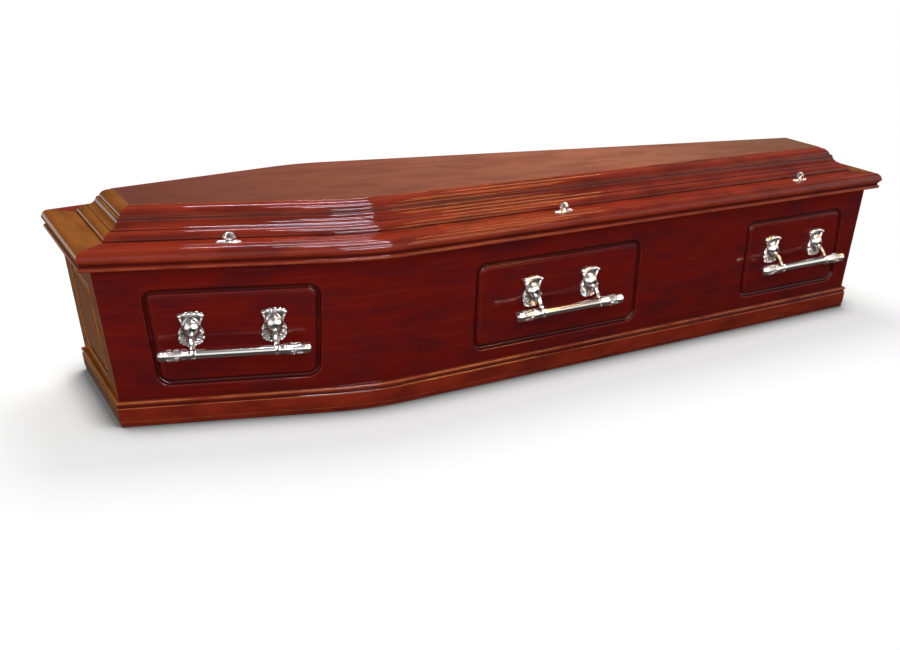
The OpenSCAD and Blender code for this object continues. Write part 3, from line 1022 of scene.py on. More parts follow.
def install(piece: bpy.types.Object, body: str, node: str, finish: "Finish", slot: str) -> None:
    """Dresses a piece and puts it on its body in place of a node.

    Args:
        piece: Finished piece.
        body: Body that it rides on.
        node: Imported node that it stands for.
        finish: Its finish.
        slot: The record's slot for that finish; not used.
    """
    piece.data.materials.clear()
    piece.data.materials.append(finish.material)
    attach(piece, body)
    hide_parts(node)
    LOG.info("%s: %d faces, in place of %s", piece.name, len(piece.data.polygons), node)


# ---- Fittings ----


def spot(x: float, out: float, z: float) -> Vector:
    """Point on a fitting: along the side, out of it and up, in millimetres."""
    return Vector((x, -out, z)) * MM


def flat(points: Iterable[Point], out: float, up: float) -> list[Vector]:
    """Lays (x, z) points on a plane at a distance out of the side, raised by a height."""
    return [spot(x, out, z + up) for x, z in points]


@dataclass(frozen=True)
class Handle:
    """A bar with cast ends, on two arms that swing from pins in ornate back plates."""

    arm_gap: float = 156.0
    arm_w: float = 9.0
    pin: Point = (10.5, 183.0)
    bar: Point = (39.5, 154.0)
    middle: float = 190.5
    hood: tuple[float, float, float] = (17.8, 18.5, 23.5)
    slot: float = 5.6
    slot_top: float = 193.0

    def rose(self, name: str, petals: int, reach: float) -> bpy.types.Object:
        """A cast flower, lying in the XY plane with Z out of the metal.

        Args:
            name: Name of the piece.
            petals: Number of petals.
            reach: Radius to the petals' middles, in millimetres.

        Returns:
            The flower.
        """
        parts = [ball("eye", Matrix.Translation((0, 0, 0.7 * MM)), (1.6, 1.6, 1.5), 8)]
        for i in range(petals):
            turn = Matrix.Rotation(math.tau * i / petals, 4, UP)
            parts.append(ball("petal", turn @ Matrix.Translation((reach * MM, 0, 0.1 * MM)), (2.6, 1.8, 1.35), 8))
        return join(name, parts)

    def make_bar(self) -> bpy.types.Object:
        """Models the bar: a polished tube between two cast ends with beads and flowers."""
        tip = [(145, 0), (145, 3.4), (144.4, 5.2), (143, 7.6), (141.2, 9.6), (139.2, 10.9), (137.4, 11.3)]
        tip += [(135.6, 11)]
        beads = [(134.6, 10.3), (133.8, 10), (133, 10.4), (132, 11.2), (130.6, 11.5), (129.2, 11.2), (128.2, 10.4)]
        field = [(127.4, 10.1), (126, 10), (103, 10), (101.6, 10.1)]
        collar = [(100.8, 10.5), (99.8, 11.2), (98.4, 11.5), (97, 11.2), (96.2, 10.4), (95.4, 10), (94.6, 10.4)]
        neck = [(93.6, 10.9), (92.4, 11), (91.2, 10.6), (90.2, 9.7), (89.4, 9.2), (88.6, 9), (84, 9)]
        half = [*tip, *beads, *field, *collar, *neck]
        outline = [*half, *((-x, r) for x, r in reversed(half))]
        places = [spot(x, self.bar[0] + r, self.bar[1]) for x, r in outline]
        axis = spot(0, *self.bar)
        parts = [lathe("handle_bar", places, axis, ALONG, 40, 50)]
        rose = self.rose("rose", 5, 3.6)
        for x in (-108.6, -120.8, 108.6, 120.8):
            shift = 45 if abs(x) > 115 else 0
            for i in range(4):
                turn = Matrix.Rotation(math.radians(90 * i + shift), 4, "X")
                stand = Matrix.Translation(axis) @ turn @ Matrix.Translation((x * MM, 0, 10.0 * MM))
                parts.append(twin(rose, "rose", stand))
        discard(rose)
        return join("handle_bar", parts)

    def make_arm(self) -> bpy.types.Object:
        """Models an arm: a rounded knuckle, a bowed strap with raised edges and a collar."""
        half = self.arm_w / 2
        knuckle = [(-half, 0), (-half, 4.6), (-3.9, 6.2), (-2.6, 7.2), (-1, 7.6)]
        knuckle = [*knuckle, *((-x, r) for x, r in reversed(knuckle))]
        places = [spot(x, self.pin[0], self.pin[1] + r) for x, r in knuckle]
        parts = [lathe("knuckle", places, spot(0, *self.pin), ALONG, 24, 50)]
        pin, bar = Vector(self.pin), Vector(self.bar)
        radius = (bar - pin).length
        middle = (bar + pin) / 2 - Vector((1, 1)).normalized() * radius * math.cos(math.radians(30))
        start = (pin - middle).normalized()
        strap = [(-half, -2.8), (-half, 3.2), (-3.9, 3.8), (-3.2, 3.6), (-2.7, 2.0), (-1.5, 1.5)]
        strap = [*strap, *((-x, r) for x, r in reversed(strap))]
        places = [spot(x, *(middle + start * (radius + r))) for x, r in strap]
        bench = Bench.drawn("strap", places)
        bpy.ops.mesh.spin(steps=16, angle=math.radians(-60), center=spot(0, *middle), axis=ALONG)
        bpy.ops.mesh.select_all(action="SELECT")
        bpy.ops.mesh.fill_holes(sides=0)
        parts.append(bench.done(40))
        ring = [(-6, 9.2), (-6, 11.0), (-5.4, 12.0), (-4.4, 12.4), (-3.4, 12.0), (-2.8, 11.2), (-1.4, 10.9)]
        ring = [*ring, *((-x, r) for x, r in reversed(ring))]
        places = [spot(x, self.bar[0], self.bar[1] + r) for x, r in ring]
        parts.append(lathe("collar", places, spot(0, *self.bar), ALONG, 36, 50, close=True))
        for turn in (70, 118):
            lean = Matrix.Translation(spot(0, *self.bar)) @ Matrix.Rotation(math.radians(turn), 4, "X")
            stud = ball("stud", lean @ Matrix.Translation((0, 0, 11.0 * MM)), (3.6, 3.6, 1.5), 4)
            only(stud)
            bpy.ops.object.shade_flat()
            parts.append(stud)
        return join("handle_arm", parts)

    def surface(self, x: float, z: float) -> float:
        """How far the hood stands out at a point."""
        wide, deep, high = self.hood
        left = 1 - (x / wide) ** 2 - ((z - self.middle) / high) ** 2
        return deep * math.sqrt(max(left, 0.01))

    def slot_arch(self) -> list[Point]:
        """Points round the top of the hood's opening, from right to left."""
        turns = [math.pi * i / 12 for i in range(13)]
        return [(self.slot * math.cos(a), self.slot_top + self.slot * math.sin(a)) for a in turns]

    def make_hood(self) -> bpy.types.Object:
        """Models the domed hood over the knuckle, with its arched opening."""
        wide, deep, high = self.hood
        bench = Bench("hood", bpy.ops.mesh.primitive_uv_sphere_add, segments=48, ring_count=24, radius=MM)
        bpy.ops.transform.resize(value=(wide, deep, high))
        bpy.ops.transform.translate(value=spot(0, 0, self.middle))
        bpy.ops.mesh.bisect(plane_co=spot(0, 1.5, 0), plane_no=(0, 1, 0), clear_outer=True)
        hood = bench.done(60)
        only(hood)
        bpy.ops.object.modifier_add(type="SOLIDIFY")
        hood.modifiers[-1].thickness = 1.4 * MM
        bpy.ops.object.modifier_apply(modifier=hood.modifiers[-1].name)
        arch = self.slot_arch()
        sides = [(-self.slot, 140), (self.slot, 140), (self.slot, self.slot_top)]
        corners = [*sides, *arch[1:-1], (-self.slot, self.slot_top)]
        cutter = Bench.slab("slot", flat(corners, 2.0, 0), spot(0, 40, 0)).done()
        only(hood)
        bpy.ops.object.modifier_add(type="BOOLEAN")
        hood.modifiers[-1].object = cutter
        hood.modifiers[-1].solver = "EXACT"
        bpy.ops.object.modifier_apply(modifier=hood.modifiers[-1].name)
        discard(cutter)
        return hood

    def strand(self, points: Sequence[Point], radius: float, out: float) -> bpy.types.Object:
        """A round cast strand that lies on the plate and thins out at its ends.

        Args:
            points: Points of its middle, from the plate's middle.
            radius: Its radius, in millimetres.
            out: How far out of the side its middle is.

        Returns:
            The strand.
        """
        count = len(points) - 1
        radii = [radius * (0.45 + 0.55 * math.sin(math.pi * i / count)) for i in range(count + 1)]
        return wire("strand", flat(points, out, self.middle), radii)

    def scroll(self, side: int) -> list[Point]:
        """Points of the C-scroll on the lower part of a plate, on one side of it."""
        turns = [i / 26 for i in range(27)]
        curl = []
        for t in turns:
            angle = math.radians(150 - 520 * t)
            reach = 7.4 * (1 - 0.78 * t)
            curl.append((side * (15.4 - reach * math.cos(angle)), -16.5 + reach * math.sin(angle)))
        return curl

    def make_plate(self) -> bpy.types.Object:
        """Models a back plate: a cartouche with a scalloped top, scrolls, leaves and its hood."""
        half = [(0, 35.3), (5.5, 33.9), (11, 34.6), (16.5, 32.4), (21.5, 31.6), (24.8, 27)]
        half += [(23.8, 21.5), (20.6, 16), (19.4, 9), (20.4, 2), (23, -3.5), (24.8, -8.5), (22.8, -13), (24.4, -18.5)]
        half += [(21.4, -26), (15, -31.2), (7.4, -34.2)]
        outline = smooth_loop([*half, (0, -35.3), *((-x, z) for x, z in reversed(half[1:]))], 4)
        places = flat(outline, 0, self.middle)
        bench = Bench.slab("plate", places, spot(0, 1.5, 0))
        for wide, rise in ((0.4, 0.7), (0.7, 0.5), (0.9, 0.1), (0.8, -0.4), (0.6, -0.8), (0.5, -0.2)):
            bench.inset(wide * MM, rise * MM)
        parts = [bench.done(50), self.make_hood()]
        arch = [(self.slot, 166), (self.slot, 173), (self.slot, 180), (self.slot, 187)]
        arch += [*self.slot_arch(), *((-x, z) for x, z in reversed(arch))]
        ridge = [spot(x * 1.12, self.surface(x * 1.12, z) + 0.1, z + 0.4) for x, z in arch]
        parts.append(wire("arch", ridge, [1.15] * len(ridge)))
        parts.append(wire("pin", [spot(x, *self.pin) for x in (-12, -11.6, 11.6, 12)], [2.0, 2.5, 2.5, 2.0]))
        top = [(-23.2, 25.5), (-20.5, 28.6), (-16, 30), (-11, 31.4), (-5.5, 31.2), (0, 32)]
        top += [(-x, z) for x, z in reversed(top[:-1])]
        roll = flat(((x, z - 1.6) for x, z in top), 3.4, self.middle)
        parts.append(wire("roll", roll, [2.6] + [3.9] * 9 + [2.6]))
        rail = ((22, 21), (18.6, 15), (17.2, 8), (18.2, 1), (21.2, -5), (22.2, -10))
        curl = ((9, -8), (12, -4), (17, -3), (21, -6), (22, -11), (19.5, -14))
        scallops = ((21.2, 27.4, 3.6), (13.6, 31, 3.8), (4.8, 31.6, 3.4))
        leaves = (
            (22, -8.5, 80, 3.8, 1.9),
            (22.6, -19, 100, 4.2, 2),
            (19.4, -25.5, 130, 4.2, 2),
            (13.6, -29.6, 155, 4.2, 2.1),
            (7, -32, 172, 3.8, 2),
            (15.2, -16.4, 40, 2, 1.8),
            (11, -24.5, 140, 3.4, 1.5),
            (9.6, -12, 70, 3.2, 1.3),
        )
        for side in (-1, 1):
            for x, z, wide in scallops:
                stand = Matrix.Translation(spot(side * x, 4.8, self.middle + z - 1.2))
                parts.append(ball("scallop", stand, (wide + 0.5, 3.2, 4.2)))
            parts.append(self.strand([(side * x, z) for x, z in rail], 1.5, 2.6))
            parts.append(self.strand(self.scroll(side), 1.5, 3.4))
            parts.append(self.strand([(side * x, z) for x, z in curl], 1.3, 3.6))
            for x, z, turn, long, wide in leaves:
                lean = Matrix.Rotation(math.radians(side * -turn), 4, "Y")
                stand = Matrix.Translation(spot(side * x, 3.2, self.middle + z)) @ lean
                parts.append(ball("leaf", stand, (long, 1.9, wide), 10))
        parts.append(ball("leaf", Matrix.Translation(spot(0, 3.0, self.middle - 32)), (2.4, 1.9, 3.0), 10))
        return join("handle_plate", parts)


@dataclass(frozen=True)
class LidScrew:
    """A thumb screw with a ribbed fan for a grip, on a leaf-shaped plate."""

    leaf_half: float = 24.0
    leaf_wide: float = 8.0
    fan: float = 13.5
    stem: float = 4.0
    depth: float = 69.0

    def make_leaf(self) -> bpy.types.Object:
        """Models the leaf plate with its raised veins and round boss."""
        half = [(-0.97, 0.2), (-0.86, 0.42), (-0.62, 0.76), (-0.32, 0.95), (0, 1.0)]
        upper = [*half, *((-x, y) for x, y in reversed(half[:-1]))]
        shape = [(-1.0, 0), *upper, (1.0, 0), *((x, -y) for x, y in reversed(upper))]
        outline = smooth_loop([(x * self.leaf_half, y * self.leaf_wide) for x, y in shape], 4)
        places = [Vector((x, y, 0)) * MM for x, y in outline]
        bench = Bench.slab("leaf", places, UP * MM)
        for wide, rise in ((0.25, 0.5), (0.4, 0.2), (0.35, -0.4)):
            bench.inset(wide * MM, rise * MM)
        parts = [bench.done(50)]
        for side in (-1, 1):
            middle = [Vector((side * x, 0, 1.2)) * MM for x in (6, 12, 18, 22)]
            parts.append(wire("vein", middle, [1.1, 0.9, 0.7, 0.3]))
            for x in (9.5, 13.5, 17):
                for lean in (-1, 1):
                    start = Vector((side * x, 0, 1.2)) * MM
                    tip = Vector((side * (x + 3.2), lean * (7.4 - 0.3 * x), 1.2)) * MM
                    parts.append(wire("vein", [start, (start + tip) / 2, tip], [0.7, 0.7, 0.3]))
        ring = [(0, 4), (3.6, 4), (4.4, 3.7), (5, 3), (5.6, 2.8), (6.4, 2.6), (7, 1.9), (7, 0.4), (0, 0.4)]
        places = [Vector((x, 0, z)) * MM for x, z in ring]
        parts.append(lathe("boss", places, Vector(), UP, 28, 40))
        return join("screw_leaf", parts)

    def make_screw(self) -> bpy.types.Object:
        """Models the thumb screw: shank, neck and ribbed fan."""
        low = -self.depth
        post = [(0, low), (2.2, low), (3, low + 1.2), (3, 3), (3.4, 4), (5.2, 4.1), (5.5, 4.8), (4.6, 5.8)]
        post += [(2.8, 6.4), (2.2, 8), (0, 8.4)]
        places = [Vector((x, 0, z)) * MM for x, z in post]
        parts = [lathe("post", places, Vector(), UP, 28, 40)]
        rise = self.stem + 4
        rays = [math.radians(8 + 164 * i / 8) for i in range(9)]
        turns = [math.radians(8 + 164 * i / 24) for i in range(25)]
        rim = [(self.fan * math.cos(a), self.fan * math.sin(a)) for a in turns]
        fan = [(3, -2.6), *rim, (-3, -2.6)]
        places = [Vector((x * 0.94, 1.1, z * 0.94 + rise)) * MM for x, z in fan]
        parts.append(Bench.slab("fan", places, spot(0, 2.2, 0)).done())
        for a in rays:
            tip = Vector((math.cos(a), 0, math.sin(a))) * (self.fan - 0.9)
            root = Vector((math.cos(a) * 2, 0, math.sin(a) * 2 - 1))
            path = [(root.lerp(tip, t) + Vector((0, 0, rise))) * MM for t in (0, 0.5, 0.85, 1)]
            parts.append(wire("rib", path, [0.9, 1.5, 1.6, 1.0]))
        return join("lid_screw", parts)


@dataclass(frozen=True)
class Fittings:
    """The handles and lid screws of all six bays."""

    plan: Plan
    handle: Handle = Handle()
    screw: LidScrew = LidScrew()
    screw_inset: float = 38 * MM

    def build(self, finishes: "Finishes") -> None:
        """Models each fitting once, and sets a copy in every place.

        Args:
            finishes: The materials.
        """
        bar, arm, plate = self.handle.make_bar(), self.handle.make_arm(), self.handle.make_plate()
        leaf, screw = self.screw.make_leaf(), self.screw.make_screw()
        for side in Side:
            for bay in Bay:
                where = f"{side.word}_{bay.word}"
                handle_at = side.place @ self.plan.at_side(bay, self.plan.overhang, 0)
                body = f"handle_{where}"
                self.set(twin(bar, f"swing_bar_{where}", handle_at), body, f"bar_{where}", finishes)
                for one, way in (("a", -1), ("b", 1)):
                    shift = handle_at @ Matrix.Translation(spot(way * self.handle.arm_gap / 2, 0, 0))
                    self.set(twin(arm, f"swing_arm_{where}_{one}", shift), body, f"arm_{where}_{one}", finishes)
                    back = twin(plate, f"handle_plate_{where}_{one}", shift)
                    self.set(back, "root", f"back_plate_{where}_{one}", finishes)
                screw_at = side.place @ self.plan.at_side(bay, self.screw_inset, self.plan.rim_top)
                self.set(twin(leaf, f"screw_leaf_{where}", screw_at), "root", f"escutcheon_{where}", finishes)
                self.set(twin(screw, f"lid_screw_{where}", screw_at), "root", f"thumb_screw_{where}", finishes)
        discard(bar, arm, plate, leaf, screw)

    def set(self, piece: bpy.types.Object, body: str, node: str, finishes: "Finishes") -> None:
        """Sets one metal piece in place of its node."""
        install(piece, body, node, finishes.metal, "silvered_metal")


# ---- Finishes ----


def linear(colour: str) -> tuple[float, float, float, float]:
    """Turns an sRGB hex colour into Blender's linear one."""
    parts = (int(colour[i : i + 2], 16) / 255 for i in (1, 3, 5))
    return (*(c / 12.92 if c <= 0.04045 else ((c + 0.055) / 1.055) ** 2.4 for c in parts), 1.0)


def add_node(
    tree: bpy.types.NodeTree, kind: str, inputs: dict[str | int, object], **settings: object
) -> bpy.types.Node:
    """Adds a node to a tree.

    Args:
        tree: The tree.
        kind: Type of the node.
        inputs: A value or an output to link, for each input by name or number.
        settings: Other properties of the node.

    Returns:
        The node.
    """
    node = tree.nodes.new(kind)
    for key, value in settings.items():
        setattr(node, key, value)
    for key, value in inputs.items():
        if isinstance(value, bpy.types.NodeSocket):
            tree.links.new(value, node.inputs[key])
        else:
            node.inputs[key].default_value = value
    return node


def seen(tree: bpy.types.NodeTree) -> bpy.types.NodeSocket:
    """Share that is 1 for what the eye sees, directly or in a gloss, and 0 for what only lights matt surfaces."""
    rays = add_node(tree, "ShaderNodeLightPath", {})
    share = rays.outputs["Is Camera Ray"]
    for other in ("Is Glossy Ray", "Is Transmission Ray"):
        share = add_node(tree, "ShaderNodeMath", {0: share, 1: rays.outputs[other]}, operation="MAXIMUM").outputs[0]
    return share


def new_tree(material: bpy.types.Material) -> bpy.types.NodeTree:
    """Empties a material's node tree."""
    material.use_nodes = True
    material.node_tree.nodes.clear()
    return material.node_tree


@dataclass(frozen=True)
class Finish:
    """A finish and the material that shows it."""

    material: bpy.types.Material


@dataclass(frozen=True)
class Lacquer:
    """Veneered board, stained and sprayed with a clear gloss lacquer.

    The eye sees the stain's colour through a hard clear gloss: soft darker clouds where the
    stain took more, fine lighter streaks along the grain and short dark pores. A paler orange
    highlight is painted on the edges, and shade is painted into hollows and creases.
    """

    name: str
    stain: str
    cloud: str
    streak: str
    # Colour of the highlight painted on edges
    edge_highlight: str
    cloud_share: float = 0.75
    streak_share: float = 0.3
    # Most of the painted edge highlight that a patch shows
    rub_share: float = 0.9
    roughness: float = 0.045
    gloss: float = 0.25
    grained: bool = True
    # Two tones of a painted reflection along the board, from head to foot
    fade: tuple[str, str] | None = None
    # Colour of the shade painted into hollows and creases
    painted_shade: str = "#240807"
    waviness: float = 0.0003

    def make(self) -> Finish:
        """Builds the material."""
        material = bpy.data.materials.new(self.name)
        tree = new_tree(material)
        spot = add_node(tree, "ShaderNodeTexCoord", {}).outputs["Object"]
        where = spot
        if self.grained:
            where = add_node(tree, "ShaderNodeAttribute", {}, attribute_name=GRAIN).outputs["Vector"]
        colour = self.colour(tree, where, spot)
        # Slow waves of the board and, far lower, the fine peel of the sprayed coat
        wave = add_node(tree, "ShaderNodeTexNoise", {"Vector": spot, "Scale": 14.0, "Detail": 1.0})
        peel = add_node(tree, "ShaderNodeTexNoise", {"Vector": spot, "Scale": 120.0, "Detail": 2.0})
        heights = {0: peel.outputs["Fac"], 1: 0.012, 2: wave.outputs["Fac"]}
        height = add_node(tree, "ShaderNodeMath", heights, operation="MULTIPLY_ADD")
        waves = {"Strength": 1.0, "Distance": self.waviness, "Height": height.outputs[0]}
        bump = add_node(tree, "ShaderNodeBump", waves)
        coat = {
            "Base Color": colour,
            "Roughness": self.roughness,
            "IOR": 1.5,
            "Specular IOR Level": self.gloss,
            "Normal": bump.outputs[0],
        }
        shader = add_node(tree, "ShaderNodeBsdfPrincipled", coat)
        add_node(tree, "ShaderNodeOutputMaterial", {"Surface": shader.outputs[0]})
        return Finish(material)

    def veil(
        self,
        tree: bpy.types.NodeTree,
        where: bpy.types.NodeSocket,
        grain: Sequence[float],
        low: float,
        high: float,
        share: float,
    ) -> bpy.types.NodeSocket:
        """A noise drawn out along the grain, as a share from 0 up to a limit.

        Args:
            tree: Tree of the material.
            where: Place in the plank.
            grain: Length of a fleck along the grain, across it and up, in millimetres.
            low: Noise at which the share is 0.
            high: Noise at which the share is at its limit.
            share: The limit.

        Returns:
            Output of the share.
        """
        scale = tuple(1000 / g for g in grain)
        stretched = add_node(tree, "ShaderNodeMapping", {"Vector": where, "Scale": scale})
        noise = add_node(tree, "ShaderNodeTexNoise", {"Vector": stretched.outputs[0], "Scale": 1.0, "Detail": 3.0})
        spread = {"Value": noise.outputs["Fac"], "From Min": low, "From Max": high, "To Max": share}
        return add_node(tree, "ShaderNodeMapRange", spread).outputs[0]

    def colour(
        self, tree: bpy.types.NodeTree, where: bpy.types.NodeSocket, spot: bpy.types.NodeSocket
    ) -> bpy.types.NodeSocket:
        """Builds the colour of the stained wood, one layer over another.

        Args:
            tree: Tree of the material.
            where: Place in the plank.
            spot: Place on the piece.

        Returns:
            Output of the colour.
        """
        layers: list[tuple[bpy.types.NodeSocket, str]] = []
        if self.fade:
            # Painted reflection: paler towards the middle of the board, from head to foot
            along = add_node(tree, "ShaderNodeSeparateXYZ", {"Vector": spot}).outputs["X"]
            for (start, end), tone in zip(((-0.85, 0.25), (0.25, 0.95)), self.fade):
                share = add_node(tree, "ShaderNodeMapRange", {"Value": along, "From Min": start, "From Max": end})
                layers.append((share.outputs[0], tone))
        layers += [
            (self.veil(tree, where, (110, 36, 36), 0.42, 0.66, self.cloud_share), self.cloud),
            (self.veil(tree, where, (130, 5, 5), 0.5, 0.75, self.streak_share), self.streak),
            # Pores are a tenth of this width, drawn as coarse as it takes to show
            (self.veil(tree, where, (26, 1.6, 1.6), 0.6, 0.75, 0.35), self.cloud),
        ]
        painted_light_mark = add_node(tree, "ShaderNodeAttribute", {}, attribute_name=PAINTED_LIGHT).outputs["Fac"]
        # Painted shade: darker in the hollows of a moulding and under its overhangs, as occlusion finds them, and in
        # the creases marked below 0
        hollow = add_node(tree, "ShaderNodeAmbientOcclusion", {"Distance": 0.012}, samples=6)
        shade = {"Value": hollow.outputs["AO"], "From Min": 0.85, "From Max": 0.35, "To Max": 0.6}
        depth = add_node(tree, "ShaderNodeMapRange", shade)
        line = add_node(tree, "ShaderNodeMapRange", {"Value": painted_light_mark, "From Max": -1.0, "To Max": 0.85})
        painted_shade_share = add_node(tree, "ShaderNodeMath", {0: depth.outputs[0], 1: line.outputs[0]}, operation="MAXIMUM")
        layers.append((painted_shade_share.outputs[0], self.painted_shade))
        # Painted highlight: a paler orange on the edges marked above 0, in patches
        patch = self.veil(tree, where, (60, 60, 60), 0.3, 0.55, self.rub_share)
        rub = add_node(tree, "ShaderNodeMath", {0: painted_light_mark, 1: patch}, operation="MULTIPLY", use_clamp=True)
        layers.append((rub.outputs[0], self.edge_highlight))
        ground: object = linear(self.stain)
        for share, tone in layers:
            mix = add_node(tree, "ShaderNodeMix", {"Factor": share, 6: ground, 7: linear(tone)}, data_type="RGBA")
            ground = mix.outputs[2]
        return ground


@dataclass(frozen=True)
class SilveredMetal:
    """Die-cast zinc with bright silver-nickel plating and dark patina left in the hollows.

    The eye sees a near mirror, with fine ripples from the casting, and dark grey lines
    wherever the ornament is undercut.
    """

    name: str = "silver_plated_die_cast_zinc"
    plate: str = "#f2f1ee"
    tarnish: str = "#8f8f8f"
    patina: str = "#2b2b2b"
    roughness: float = 0.12

    def make(self) -> Finish:
        """Builds the material."""
        material = bpy.data.materials.new(self.name)
        tree = new_tree(material)
        spot = add_node(tree, "ShaderNodeTexCoord", {}).outputs["Object"]
        hollow = add_node(tree, "ShaderNodeAmbientOcclusion", {"Distance": 0.005}, samples=8)
        shade = {"Value": hollow.outputs["AO"], "From Min": 0.7, "From Max": 0.25, "To Max": 0.9}
        depth = add_node(tree, "ShaderNodeMapRange", shade)
        stain = add_node(tree, "ShaderNodeTexNoise", {"Vector": spot, "Scale": 160.0, "Detail": 2.0})
        spread = {"Value": stain.outputs["Fac"], "From Min": 0.35, "From Max": 0.8, "To Max": 0.12}
        tarnish = add_node(tree, "ShaderNodeMapRange", spread)
        ground: object = linear(self.plate)
        for share, tone in ((tarnish.outputs[0], self.tarnish), (depth.outputs[0], self.patina)):
            mix = add_node(tree, "ShaderNodeMix", {"Factor": share, 6: ground, 7: linear(tone)}, data_type="RGBA")
            ground = mix.outputs[2]
        ripple = add_node(tree, "ShaderNodeTexNoise", {"Vector": spot, "Scale": 240.0, "Detail": 1.0})
        ripples = {"Strength": 0.6, "Distance": 0.0001, "Height": ripple.outputs["Fac"]}
        bump = add_node(tree, "ShaderNodeBump", ripples)
        plating = {"Base Color": ground, "Metallic": 1.0, "Roughness": self.roughness, "Normal": bump.outputs[0]}
        shader = add_node(tree, "ShaderNodeBsdfPrincipled", plating)
        add_node(tree, "ShaderNodeOutputMaterial", {"Surface": shader.outputs[0]})
        return Finish(material)


@dataclass(frozen=True)
class Finishes:
    """Every finish of the coffin."""

    side: Finish
    strip: Finish
    end: Finish
    top: Finish
    inside: Finish
    metal: Finish

    @classmethod
    def make(cls) -> "Finishes":
        """Mixes the finishes."""
        return cls(
            side=Lacquer(
                "mahogany_veneer_deep_red_gloss", "#62110b", "#481116", "#7e2212", "#a84a26", rub_share=0.3
            ).make(),
            # Painted light: the side strips (skirting, rim and moulding) are a lighter orange-red copy of the sides'
            # mahogany, lit from above
            strip=Lacquer(
                "mahogany_moulding_red_gloss",
                "#862a17",
                "#5a1812",
                "#a43e20",
                "#d07c42",
                rub_share=0.7,
                painted_shade="#340b09",
                waviness=0.00003,
            ).make(),
            # Painted light: the ends and their strips are a golden brown copy of the same mahogany, for the warm
            # light on them
            end=Lacquer(
                "mahogany_veneer_golden_brown_gloss", "#90521c", "#744010", "#a0622a", "#c8843c", painted_shade="#3c1f0c"
            ).make(),
            # Painted reflection: the top board is a brown copy of the same mahogany, for the backdrop mirrored in it
            top=Lacquer(
                "mahogany_top_board_brown_gloss",
                "#6f3a2c",
                "#643226",
                "#84503a",
                "#c07a4c",
                cloud_share=0.4,
                fade=("#a8654a", "#7e543e"),
                waviness=0.0001,
            ).make(),
            inside=Lacquer(
                "plain_board_red_gloss", "#5c1c12", "#471414", "#6e2a1a", "#a05030", grained=False
            ).make(),
            metal=SilveredMetal().make(),
        )


# ---- Studio ----


